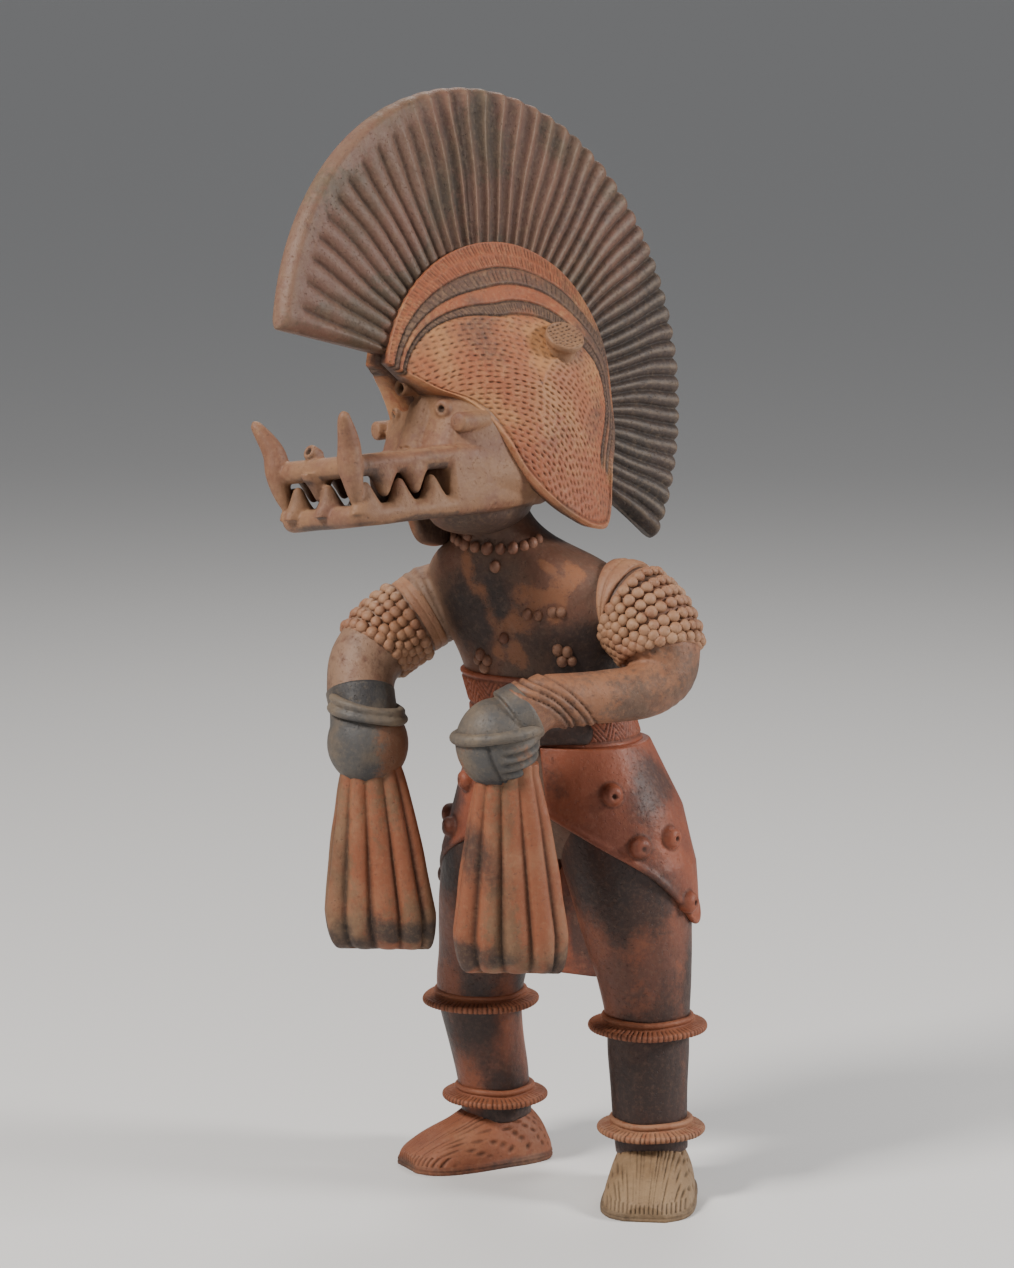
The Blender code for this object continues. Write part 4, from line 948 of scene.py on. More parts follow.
# ---- Torso, arms and hands
def torso_surface(turn, height, proud=0.0):
    x, y, a, b = between(TORSO_LEVELS, height)
    turn = np.radians(turn)
    c, s = np.sin(turn), -np.cos(turn)
    reach = squared(c, s, TORSO_SQUARE)
    return np.stack((x + reach * c * (a + proud), y + reach * s * (b + proud), height + 0 * c), axis=-1)


def stroke_distance(turn, height, strokes):
    """How far inside the nearest painted stroke each place is, 1 on its middle line and 0 at its edge."""
    best = np.zeros_like(turn)
    for t0, h0, t1, h1, half in strokes:
        scale = 0.72
        a = np.array((t0 * scale, h0))
        way = np.array((t1 * scale, h1)) - a
        off = np.stack((turn * scale - a[0], height - a[1]), axis=-1)
        share = np.clip(off @ way / (way @ way), 0.0, 1.0)
        reach = np.linalg.norm(off - share[..., None] * way, axis=-1)
        best = np.maximum(best, np.clip(1.4 - reach / half, 0.0, 1.0))
    return best


def limb_share(points, stations):
    """How far along a limb each place is, from 0 to 1, and its distance from the middle line."""
    line = flowing(stations, 400)[:, :3]
    nearest = np.zeros(len(points), int)
    near = np.full(len(points), 1e9)
    for k, spot in enumerate(line):
        gap = np.linalg.norm(points - spot, axis=1)
        nearest = np.where(gap < near, k, nearest)
        near = np.minimum(gap, near)
    return nearest / (len(line) - 1), near


def torso():
    clay = Clay()
    turns = turns_of(72)
    c, s = np.cos(turns), np.sin(turns)
    reach = squared(c, s, TORSO_SQUARE)
    clay.loft([np.stack((x + reach * c * a, y + reach * s * b, z + 0 * c), axis=1)
               for z, x, y, a, b in flowing_levels(TORSO_LEVELS, 70)])
    for stations in (RIGHT_ARM, LEFT_ARM):
        clay.tube(flowing(stations, 60), ARM_HINT, 40)
    mesh = melt(outward(clay.mesh("torso")), 1.25, 6)
    points, normals = mesh_places(mesh)
    x, y, a, b = between(TORSO_LEVELS, points[:, 2])
    turn = np.degrees(np.arctan2((points[:, 0] - x) / a, -(points[:, 1] - y) / b))
    paint = stroke_distance(turn, points[:, 2], CHEST_STROKES) * (points[:, 2] > 289)
    hollow = np.zeros(len(points))
    share_left, near_left = limb_share(points, LEFT_ARM)
    share_right, near_right = limb_share(points, RIGHT_ARM)
    forearm = (share_left > 0.62) & (near_left < 24) & (points[:, 0] < 45)
    wraps = np.zeros(len(points))
    for place, lean in ((0.775, 0.0062), (0.815, 0.0070), (0.853, 0.0062), (0.888, 0.0072)):
        slant = share_left - lean * (points[:, 2] - 284.0) + 0.004 * drift(points, 9.0)
        hollow = np.maximum(hollow, np.exp(-((slant - place) / 0.0060) ** 2) * forearm)
        wraps += 0.9 * soft_step(0.0, 0.010, slant - place) * soft_step(0.045, 0.010, slant - place) * forearm
    upper_arm = (share_right < 0.36) & (share_right > 0.10) & (near_right < 27)
    for place in (0.225, 0.262):
        bulge = share_right - place - 0.006 * np.sin(points[:, 2] / 7.0)
        wraps += 0.8 * np.exp(-(bulge / 0.012) ** 2) * upper_arm
    lump = 0.5 * drift(points, 16.0) + 0.2 * drift(points, 6.0, 1.0)
    points = points + normals * (lump - 1.3 * hollow + wraps)[:, None]
    move_points(mesh, points)
    arms = np.clip(np.maximum(soft_step(27, 22, near_left) * soft_step(0.10, 0.20, share_left),
                              soft_step(27, 22, near_right) * soft_step(0.06, 0.16, share_right)), 0, 1)
    chest = (1 - arms) * soft_step(286, 290, points[:, 2])
    smoke_plus_shade = chest * (0.25 + 0.35 * drift(points, 21.0, 2.0))
    # painted shade: the chest's left side below the shoulder, beside the left arm, is darkened
    smoke_plus_shade += 0.45 * chest * soft_step(10, 50, turn) * soft_step(330, 305, points[:, 2])
    # painted highlight: the chest's right side is kept clear of smoke and made paler through proud
    lit_right_side = soft_step(-35, -75, turn) * chest
    smoke_plus_shade = smoke_plus_shade * (1 - lit_right_side)
    # the left arm is redder than the right, which is pale and worn
    left_arm = arms * (points[:, 0] > -30)
    right_arm = arms * (points[:, 0] <= -30)
    streak = 0.85 * paint * (0.85 + 0.6 * drift(points, 4.0, 4.0))
    # painted shade in the grooves between the forearm wraps through hollow
    add_field(mesh, "hollow", np.clip(hollow * 0.8, 0, 1))
    add_field(mesh, "tint", np.clip(streak + left_arm * (0.45 + 0.4 * drift(points, 12.0)), 0, 1))
    add_field(mesh, "cloud", np.clip(smoke_plus_shade * (1 - 0.7 * streak)
                                     + 0.25 * left_arm * soft_step(0.0, 0.8, drift(points, 13.0, 3.0)), 0,
                                     1))
    add_field(mesh, "proud", np.clip(right_arm * 0.95 + lit_right_side * 0.8 + 0.25 * left_arm, 0, 1))
    stand("torso", mesh, BODY_CLAY, 0.46)


def hands():
    side, deep, tall = HAND_SIZE
    clay = Clay()
    for hand, arm, first in ((RIGHT_HAND, RIGHT_ARM, 0.80), (LEFT_HAND, LEFT_ARM, 0.93)):
        clay.ellipsoid(hand, ACROSS * side, AHEAD * deep, np.array((0, 0, tall)), 40, 24)
        cuff = flowing(arm, 80)[int(first * 79):]
        cuff[:, 3] += 0.8
        cuff[0, 3] -= 2.5
        clay.tube(cuff, ARM_HINT, 40)
    mesh = melt(outward(clay.mesh("hands")), 0.95, 3)
    points, normals = mesh_places(mesh)
    away = points - np.array(LEFT_HAND)
    is_left = points[:, 0] > -40
    knuckles = soft_step(2.0, 8.0, away @ ACROSS) * soft_step(6.0, -1.0, away[:, 2]) * soft_step(-24, -18,
                                                                                                 away[:, 2])
    ridge = 0.5 + 0.5 * np.cos(2 * pi * (away[:, 2] + 0.30 * (away @ AHEAD) + 1.2) / 5.6)
    hollow = (1 - ridge) ** 1.6 * knuckles * is_left
    thumb = np.exp(-((away @ ACROSS + 3.0 + 0.35 * away[:, 2]) / 1.0) ** 2) * soft_step(6.0, 0.0, away[:, 2])
    hollow = np.maximum(hollow, 0.7 * thumb * is_left * (away @ AHEAD > 0))
    low = soft_step(-6.0, -16.0, points[:, 2] - 256.0)
    points = points + normals * (0.4 * drift(points, 10.0) - 1.6 * hollow + 0.7 * knuckles * is_left)[:, None]
    move_points(mesh, points)
    over_arm = soft_step(252.0, 270.0, points[:, 2]) * (1 - is_left)
    # painted shade in the knuckle grooves and along the thumb through hollow
    add_field(mesh, "hollow", np.clip(hollow * 0.8, 0, 1))
    add_field(mesh, "cloud", np.clip(0.55 * low * is_left + 0.30 * drift(points, 14.0) + 0.25 * over_arm, 0,
                                     1))
    warm_side = soft_step(0.0, 18.0, (points - np.array(RIGHT_HAND)) @ ACROSS) * (1
                                                                                  - is_left) * (points[:,
                                                                                                       2] < 262)
    add_field(mesh, "tint", np.clip(0.9 * warm_side + 0.5 * soft_step(0.2, 0.9, drift(points, 12.0, 5.0)),
                                    0, 1))
    add_field(mesh, "proud", np.clip(0.5 * drift(points, 15.0, 2.0), 0, 1))
    stand("hands", mesh, HAND_CLAY, 0.55)


def wrist_rolls():
    """A flattened coil of clay round each wrist, lapped where its ends meet."""
    clay = Clay()
    coils = ((RIGHT_HAND, 16.5, 19.4, 17.6, -2.8, 3.1), (RIGHT_HAND, 21.5, 18.2, 16.8, -3.6, 2.9),
             (LEFT_HAND, 5.5, 21.4, 19.6, 3.0, 4.0))
    for hand, rise, wide, deep, tilt, thick in coils:
        stations = []
        for k in range(57):
            a = -2.4 + k / 56 * (2 * pi + 0.25)
            lap = 1.5 * (k / 56 - 0.5)
            centre = np.array(hand) + ACROSS * wide * cos(a) + AHEAD * deep * sin(a)
            centre[2] += rise + tilt * cos(a) + lap
            stations.append((*centre, thick + 0.25 * sin(a * 3)))
        clay.tube(stations, (0.0, 0.0, 1.0), 20, 0.85)
    mesh = melt(outward(clay.mesh("wrist_rolls")), 0.9, 2)
    points, normals = mesh_places(mesh)
    move_points(mesh, points + normals * (0.2 * drift(points, 7.0))[:, None])
    add_field(mesh, "proud", np.clip(0.5 + 0.5 * drift(points, 12.0), 0, 1))
    stand("wrist_rolls", mesh, HAND_CLAY, 0.6)


# ---- Armlets
def armlet_line(stations, share):
    table = flowing(np.asarray(stations, float)[:5], 200)
    at = share * (len(table) - 1)
    low = int(min(at, len(table) - 2))
    here = table[low] + (table[low + 1] - table[low]) * (at - low)
    along = unit(table[min(low + 5, len(table) - 1), :3] - table[max(low - 4, 0), :3])
    side = unit(np.cross(along, ARM_HINT))
    return here, along, side, np.cross(side, along)


def armlet_bands():
    clay = Clay()
    turns = turns_of(96)
    for stations, (first, last, _) in ((RIGHT_ARM, RIGHT_ARMLET), (LEFT_ARM, LEFT_ARMLET)):
        rings = []
        start = first - 0.14
        flatter = 0.35 if stations is RIGHT_ARM else 1.0
        profile = [(0.0, -5.0), (0.0, 0.6), (0.006, 1.5), (0.02, 2.0), (0.05, 2.1), (0.06, 1.7),
                   (0.065, 1.2), (0.07, 1.7),
                   (0.08, 2.0), (0.105, 2.0), (0.117, 1.5), (0.12, 0.6), (0.12, -5.0)]
        for offset, lift in profile:
            here, _, side, cross = armlet_line(stations, start + offset)
            r = here[3] + lift * (flatter if lift > 0 else 1.0)
            rings.append(here[:3] + r * (np.cos(turns)[:, None] * side + np.sin(turns)[:, None] * cross))
        clay.loft(rings)
        rings = []
        for share, lift in ((first, -5.0), (first, 0.4), (first + 0.01, 0.9), (last - 0.01, 0.9),
                            (last, 0.4), (last, -5.0)):
            here, _, side, cross = armlet_line(stations, share)
            r = here[3] + lift
            rings.append(here[:3] + r * (np.cos(turns)[:, None] * side + np.sin(turns)[:, None] * cross))
        clay.loft(rings)
    mesh = outward(clay.mesh("armlet_bands"))
    points, _ = mesh_places(mesh)
    add_field(mesh, "proud", np.full(len(points), 0.3))
    stand("armlet_bands", mesh, BEAD_CLAY)


def bead_marks():
    """A point, a facing direction and a size for each bead of both armlets."""
    places, facing, along_dir, sizes = [], [], [], []
    for arm, (stations, (first, last, rows)) in enumerate(((RIGHT_ARM, RIGHT_ARMLET),
                                                           (LEFT_ARM, LEFT_ARMLET))):
        for row in range(rows):
            share = first + (last - first) * (row + 0.5) / rows
            here, along, side, cross = armlet_line(stations, share)
            count = int(round(2 * pi * (here[3] + 1.5) / BEAD_SPACING))
            step = 2 * pi / count
            for k in range(count):
                a = (k + 0.5 * (row % 2) + 0.22 * (scatter(row, k, arm) - 0.5)) * step
                out = cos(a) * side + sin(a) * cross
                drop = 0.5 * (scatter(k, row, arm + 3.0) - 0.5)
                places.append(here[:3] + (here[3] + 0.8) * out + drop * along)
                facing.append(out)
                along_dir.append(along)
                sizes.append(0.92 + 0.18 * scatter(row, k, arm + 5.0))
    return np.array(places), np.array(facing), np.array(along_dir), np.array(sizes)


def turned_to(out, along):
    """Euler angles that carry Z to out and Y to along."""
    angles = []
    for z, y in zip(out, along):
        z = unit(z)
        x = unit(np.cross(y, z))
        y = np.cross(z, x)
        angles.append(Matrix(np.stack((x, y, z), axis=1).tolist()).to_euler())
    return np.array([tuple(a) for a in angles])


def pressed_on(name, places, out, along, sizes, shape, finish, rings=7, segments=12):
    """Clay pellets pressed onto the figure, one at each marked place, made by a node tree."""
    marks = bpy.data.meshes.new(name)
    marks.from_pydata((places - BOX_CENTRE) * MM, [], [])
    turned = marks.attributes.new("turned", "FLOAT_VECTOR", "POINT")
    turned.data.foreach_set("vector", turned_to(out, along).astype(np.float32).ravel())
    add_field(marks, "size", sizes)
    tree = bpy.data.node_groups.new(name + "_pressed", "GeometryNodeTree")
    tree.interface.new_socket("Geometry", in_out="INPUT", socket_type="NodeSocketGeometry")
    wide = tree.interface.new_socket("Pellet half width", in_out="INPUT", socket_type="NodeSocketFloat")
    long = tree.interface.new_socket("Pellet half length", in_out="INPUT", socket_type="NodeSocketFloat")
    tall = tree.interface.new_socket("Pellet height", in_out="INPUT", socket_type="NodeSocketFloat")
    tree.interface.new_socket("Geometry", in_out="OUTPUT", socket_type="NodeSocketGeometry")
    start = tree.nodes.new("NodeGroupInput")
    end = tree.nodes.new("NodeGroupOutput")
    pellet = tree.nodes.new("GeometryNodeMeshUVSphere")
    pellet.inputs["Segments"].default_value = segments
    pellet.inputs["Rings"].default_value = rings
    pellet.inputs["Radius"].default_value = 1.0
    scale = tree.nodes.new("ShaderNodeCombineXYZ")
    tree.links.new(start.outputs["Pellet half width"], scale.inputs["X"])
    tree.links.new(start.outputs["Pellet half length"], scale.inputs["Y"])
    tree.links.new(start.outputs["Pellet height"], scale.inputs["Z"])
    flatten = tree.nodes.new("GeometryNodeTransform")
    tree.links.new(pellet.outputs["Mesh"], flatten.inputs["Geometry"])
    tree.links.new(scale.outputs["Vector"], flatten.inputs["Scale"])
    angle = tree.nodes.new("GeometryNodeInputNamedAttribute")
    angle.data_type = "FLOAT_VECTOR"
    angle.inputs["Name"].default_value = "turned"
    size = tree.nodes.new("GeometryNodeInputNamedAttribute")
    size.data_type = "FLOAT"
    size.inputs["Name"].default_value = "size"
    press = tree.nodes.new("GeometryNodeInstanceOnPoints")
    tree.links.new(start.outputs["Geometry"], press.inputs["Points"])
    tree.links.new(flatten.outputs["Geometry"], press.inputs["Instance"])
    turn = tree.nodes.new("FunctionNodeEulerToRotation")
    tree.links.new(angle.outputs["Attribute"], turn.inputs["Euler"])
    tree.links.new(turn.outputs["Rotation"], press.inputs["Rotation"])
    tree.links.new(size.outputs["Attribute"], press.inputs["Scale"])
    real = tree.nodes.new("GeometryNodeRealizeInstances")
    tree.links.new(press.outputs["Instances"], real.inputs["Geometry"])
    paint = tree.nodes.new("GeometryNodeSetMaterial")
    paint.inputs["Material"].default_value = finish
    tree.links.new(real.outputs["Geometry"], paint.inputs["Geometry"])
    tree.links.new(paint.outputs["Geometry"], end.inputs["Geometry"])
    carrier = carrier_of(marks)
    nodes = carrier.modifiers.new("pressed", "NODES")
    nodes.node_group = tree
    for socket, value in ((wide, shape[0]), (long, shape[1]), (tall, shape[2])):
        nodes[socket.identifier] = value * MM
    mesh = taken_from(carrier, name)
    for label in ("turned", "size"):
        if label in mesh.attributes:
            mesh.attributes.remove(mesh.attributes[label])
    points, normals = mesh_places(mesh)
    move_points(mesh, points + normals * (0.22 * drift(points, 2.6))[:, None])
    add_field(mesh, "proud", np.clip(0.45 + 0.5 * drift(points, 14.0), 0, 1))
    return stand(name, mesh, finish)


def pellets():
    places, out, along, sizes = bead_marks()
    pressed_on("armlet_beads", places, out, along, sizes, (3.5, 3.35, 2.7), BEAD_CLAY, 7, 12)
    count = 11
    turns = np.radians(-66.0 + 132.0 * np.arange(count) / (count - 1))
    drop = 8.5 * np.cos(turns) - 4.0
    x, y, a, b = between(TORSO_LEVELS, 364.0 - drop)
    bed = np.stack((x + np.sin(turns) * (a + 1.6), y - np.cos(turns) * (b + 1.6), 363.0 - drop), axis=1)
    face = np.stack((np.sin(turns), -np.cos(turns), 0.2 + 0 * turns), axis=1)
    upward = np.tile(STRAIGHT_UP, (count, 1))
    spread = np.array((0.9, 1.05, 0.95, 1.1, 1.0, 1.15, 1.0, 1.1, 0.95, 1.05, 0.9))
    pressed_on("necklace", bed, face, upward, spread, (2.9, 3.4, 2.8), CHEST_BEAD_CLAY)
    at = np.array([torso_surface(t, h, 0.4) for t, h, _ in CHEST_PELLETS])
    more = np.array([torso_surface(t, h, 3.4) for t, h, _ in CHEST_PELLETS]) - at
    size = np.array([r for _, _, r in CHEST_PELLETS]) / 3.2
    pressed_on("chest_pellets", at, more, np.tile(STRAIGHT_UP, (len(at), 1)), size, (3.0, 3.4, 2.9),
               CHEST_BEAD_CLAY,
               9, 16)


# ---- Belt, skirt and loin panel
def belt():
    clay = Clay()
    turns = turns_of(360)
    c, s = np.cos(turns), np.sin(turns)
    reach = squared(c, s, TORSO_SQUARE)
    rings = []
    profile = [(BELT_BOTTOM, -5.0), (BELT_BOTTOM, 0.8), (BELT_BOTTOM + 0.7, 1.8)]
    profile += [(h, BELT_PROUD + 0.2) for h in np.linspace(BELT_BOTTOM + 1.6, BELT_TOP - 1.6, 44)]
    profile += [(BELT_TOP - 0.7, 1.8), (BELT_TOP, 0.8), (BELT_TOP, -5.0)]
    hollow = []
    for height, proud in profile:
        x, y, a, b = between(TORSO_LEVELS, height)
        run = turns * 42.0
        tooth_place = run / 15.0
        slope = np.abs((tooth_place - np.floor(tooth_place)) * 2 - 1)
        line = (height - BELT_BOTTOM) + slope * 12.0
        cut = np.abs((line / 4.2) % 1.0 - 0.5) * 2
        mark = soft_step(0.40, 0.90, cut) * (1 if BELT_BOTTOM + 3.5 < height < BELT_TOP - 3.5 else 0)
        seam = np.exp(-(((height - BELT_BOTTOM) - 19.0) / 0.9) ** 2)
        seam = max(seam, np.exp(-((height - BELT_BOTTOM - 3.6) / 0.7) ** 2),
                   np.exp(-((BELT_TOP - 3.6 - height) / 0.7) ** 2))
        mark = np.maximum(mark, seam)
        hollow.append(mark)
        lift = proud - 1.1 * mark
        rings.append(np.stack((x + reach * c * (a + lift), y + reach * s * (b + lift), height + 0 * c),
                              axis=1))
    clay.loft(rings)
    mesh = outward(clay.mesh("belt"))
    # painted shade in the cut marks and seams through hollow
    add_field(mesh, "hollow", np.concatenate((np.array(hollow).ravel() * 0.8, (0.0, 0.0))))
    stand("belt", mesh, SKIRT_CLAY, 0.7)


def hip_points(turn, height, proud):
    x, y, a, b = between(HIP_LEVELS, height)
    turn = np.radians(turn)
    c, s = np.sin(turn), -np.cos(turn)
    reach = squared(c, s, TORSO_SQUARE)
    return np.stack((x + c * reach * (a + proud), y + s * reach * (b + proud), height + 0 * c), axis=-1)


def hem_height(turn):
    table = flowing([(t, h, 0.0) for t, h in HEM], 80)
    return np.interp(180.0 - np.abs(180.0 - np.asarray(turn, float) % 360.0), table[:, 0], table[:, 1])


def skirt():
    """The thick cloth wrapped round the hips, open at the front, its edge rolled and falling to each side."""
    opening = HEM[0][0]
    turns = np.linspace(opening, 360.0 - opening, 300)
    hem = hem_height(turns)
    ends = np.minimum((turns - opening) / 1.6, (360.0 - opening - turns) / 1.6)
    rounding = np.sqrt(1 - (1 - np.clip(ends, 0, 1)) ** 2)
    rows = []
    drop = np.linspace(0.0, 1.0, 80)
    for d in drop:
        height = SKIRT_TOP + (hem + 1.6 - SKIRT_TOP) * d
        lip = 1.0 * soft_step(5.5, 3.5, (height - hem)) + 0.6 * soft_step(3.5, 0.5, turns - opening)
        rows.append(hip_points(turns, height, SKIRT_PROUD * rounding + lip))
    for a in np.linspace(0, pi, 9)[1:]:
        height = hem + 1.6 - 1.6 * np.sin(a)
        rows.append(hip_points(turns, height, (SKIRT_PROUD + 1.0) * rounding - 4.5 * (1 - np.cos(a)) / 2))
    for d in (0.9, 0.6, 0.3, 0.0):
        height = SKIRT_TOP + (hem - SKIRT_TOP) * d
        rows.append(hip_points(turns, height, -7.0))
    ring = np.array(rows).transpose(1, 0, 2)
    clay = Clay()
    clay.loft(ring)
    for turn, share in SKIRT_STUDS:
        for side in (1, -1):
            height = SKIRT_TOP + (hem_height(turn) - SKIRT_TOP) * share
            base = hip_points(side * turn, height, SKIRT_PROUD)
            out = hip_points(side * turn, height, SKIRT_PROUD + 10) - base
            clay.lathe(base, out, ((-5, 6.0), (0.0, 6.0), (1.6, 5.9), (3.0, 5.4), (4.2, 4.5), (5.0, 3.3),
                                   (5.3, 2.2),
                                   (5.0, 1.5), (3.4, 1.2), (2.4, 0.4)), 32)
    mesh = melt(outward(clay.mesh("skirt")), 0.95, 2)
    points, normals = mesh_places(mesh)
    hollow = np.zeros(len(points))
    for turn, share in SKIRT_STUDS:
        for side in (1, -1):
            height = SKIRT_TOP + (hem_height(turn) - SKIRT_TOP) * share
            base = hip_points(side * turn, height, SKIRT_PROUD)
            axis = unit(hip_points(side * turn, height, SKIRT_PROUD + 10) - base)
            away = points - base
            off = np.linalg.norm(away - (away @ axis)[:, None] * axis, axis=1)
            hollow = np.maximum(hollow, soft_step(1.9, 1.0, off) * (np.abs(away @ axis) < 7))
            ring_in = np.exp(-((off - 6.8) / 0.7) ** 2) * (np.abs(away @ axis) < 3)
            hollow = np.maximum(hollow, 0.6 * ring_in)
    points = points + normals * (0.35 * drift(points, 13.0))[:, None]
    move_points(mesh, points)
    # painted shade in the stud holes and round the foot of each stud through hollow
    add_field(mesh, "hollow", hollow)
    add_field(mesh, "cloud", np.clip(0.10 + 0.45 * drift(points, 17.0, 1.0), 0, 1))
    stand("skirt", mesh, SKIRT_CLAY, 0.40)


def loin_panel():
    clay = Clay()
    rings = []
    for x, y, z, half in flowing([(x, y, z, h) for x, y, z, h in LOIN_PANEL], 40):
        turns = turns_of(48)
        c, s = np.cos(turns), np.sin(turns)
        reach = squared(c, s, LOIN_SQUARE)
        rings.append(np.stack((x + reach * c * half, y + reach * s * 4.5, z + 0 * c), axis=1))
    clay.loft(rings)
    mesh = melt(outward(clay.mesh("loin_panel")), 1.2, 3)
    points, _ = mesh_places(mesh)
    add_field(mesh, "cloud", np.clip(0.35 + 0.3 * drift(points, 15.0), 0, 1))
    stand("loin_panel", mesh, SKIRT_CLAY, 0.6)


def strap():
    """The dark strap that hangs out of the belt beneath the left forearm."""
    clay = Clay()
    turns = turns_of(40)
    rings = []
    for k, turn in enumerate(np.linspace(-4.0, 46.0, 30)):
        height = 257.0 + 3.0 * sin(k / 29 * 2.0)
        base = torso_surface(turn, height, BELT_PROUD + 3.2)
        out = unit(torso_surface(turn, height, 12.0) - base)
        tip = sqrt(max(0.0, 1 - max(0.0, (k - 26) / 3.2) ** 2))
        rings.append(base + out * np.sin(turns)[:, None] * 3.0 * max(tip, 0.1)
                     + STRAIGHT_UP * np.cos(turns)[:, None] * 6.6 * max(tip, 0.1))
    clay.loft(rings)
    mesh = outward(clay.mesh("belt_strap"))
    points, _ = mesh_places(mesh)
    add_field(mesh, "cloud", np.full(len(points), 0.8))
    stand("belt_strap", mesh, LEG_CLAY)


# ---- Pouches
def pouch(name, ends):
    """A flared bag of upright rolls that hang from the hand and close in rounded lobes."""
    top, foot = np.array(ends[0]), np.array(ends[1])
    columns = POUCH_RIBS * 2 * 24
    turns = 2 * pi * (np.arange(columns) + 0.5) / columns
    c, s = np.cos(turns), np.sin(turns)
    reach = squared(c, s, POUCH_SQUARE)
    # ribs are spaced evenly along the bag's outline, not by turn
    outline = np.stack((reach * c * 27.0, reach * s * 14.0), axis=1)
    step = np.linalg.norm(np.diff(np.concatenate((outline, outline[:1])), axis=0), axis=1)
    run = np.concatenate(([0.0], np.cumsum(step)))[:-1] / step.sum()
    place = run * POUCH_RIBS * 2 + 0.25
    phase = np.abs(place - np.floor(place) - 0.5) * 2
    groove = phase ** 2.2
    rib = np.floor(place)
    rings, sunk = [], []
    levels = np.concatenate((np.linspace(-0.06, 0.8, 110),
                             0.8 + 0.2 * np.sin(np.linspace(0, pi / 2, 34)[1:])))
    for level in levels:
        open_share = min(max(level, 0.0) / 0.8, 1.0) ** 0.85
        low = max(0.0, (level - 0.8) / 0.2)
        round_off = sqrt(max(0.0, 1.0 - low ** 2.3))
        width = POUCH_HALF_WIDTH[0] + (POUCH_HALF_WIDTH[1] - POUCH_HALF_WIDTH[0]) * open_share
        depth = (POUCH_HALF_DEPTH[0] + (POUCH_HALF_DEPTH[1]
                                        - POUCH_HALF_DEPTH[0]) * open_share) * max(round_off, 0.04)
        width = width * (0.80 + 0.20 * round_off)
        deep = 5.0 * (0.35 + 0.65 * open_share) * groove * (0.8 + 0.3 * scatter(rib, 2.0, ends[0][0]))
        deep = deep * (0.25 + 0.75 * round_off)
        centre = top + (foot - top) * level
        lobe = 1.6 * low * (1 - groove) * (0.6 + 0.4 * scatter(rib, 7.0, 1.0))
        w = reach * c * (width - deep * np.abs(c))
        d = reach * s * (depth - deep * round_off * (0.25 + 0.75 * np.abs(s)))
        sway = 0.5 * np.sin(level * 5.0 + rib * 1.7)
        rings.append(centre + np.outer(w + sway * (1 - groove), ACROSS) + np.outer(d, AHEAD)
                     - np.outer(lobe, STRAIGHT_UP))
        sunk.append(groove * min(1.0, 0.4 + open_share))
    clay = Clay()
    clay.loft(rings)
    mesh = outward(clay.mesh(name))
    points, normals = mesh_places(mesh)
    points = points + normals * (0.3 * drift(points, 8.0))[:, None]
    move_points(mesh, points)
    groove_field = np.clip(np.concatenate((np.array(sunk).ravel(), (0.0, 0.0))) * 1.5 - 0.55, 0, 1)
    # painted shade in the grooves between the rolls through hollow
    add_field(mesh, "hollow", groove_field)
    lower = soft_step(168.0, 142.0, points[:, 2]) * soft_step(-0.5, 0.5, drift(points, 9.0))
    add_field(mesh, "cloud", np.clip(0.4 * drift(points, 19.0, 2.0) + 0.7 * lower, 0, 1))
    add_field(mesh, "tint", np.clip(0.45 + 0.9 * drift(points * np.array((1, 1, 0.3)), 11.0, 5.0), 0, 1))
    add_field(mesh, "proud", np.clip(0.35 * (1 - groove_field) * soft_step(-0.1, 0.5,
                                                                           drift(points, 12.0, 1.0)), 0, 1))
    stand(name, mesh, POUCH_CLAY, 0.6)


# ---- Legs, rings and shoes
def legs():
    clay = Clay()
    for stations in (RIGHT_LEG, LEFT_LEG):
        clay.tube(flowing(stations, 80), (0.0, 1.0, 0.0), 48)
    mesh = melt(outward(clay.mesh("legs")), 1.3, 4)
    points, normals = mesh_places(mesh)
    move_points(mesh, points + normals * (0.5 * drift(points, 22.0) + 0.15 * drift(points, 7.0, 2.0))[:,
                                                                                                      None])
    calf = soft_step(96.0, 88.0, points[:, 2])
    streak = drift(points * np.array((1, 1, 0.22)), 7.0, 3.0)
    add_field(mesh, "cloud", np.clip(0.30 + 0.45 * drift(points, 24.0, 1.5) + 0.25 * calf - 0.2 * streak, 0,
                                     1))
    add_field(mesh, "tint", np.clip(0.25 + 0.6 * drift(points, 15.0, 6.0) + 0.5 * streak, 0, 1))
    stand("legs", mesh, LEG_CLAY, 0.42)


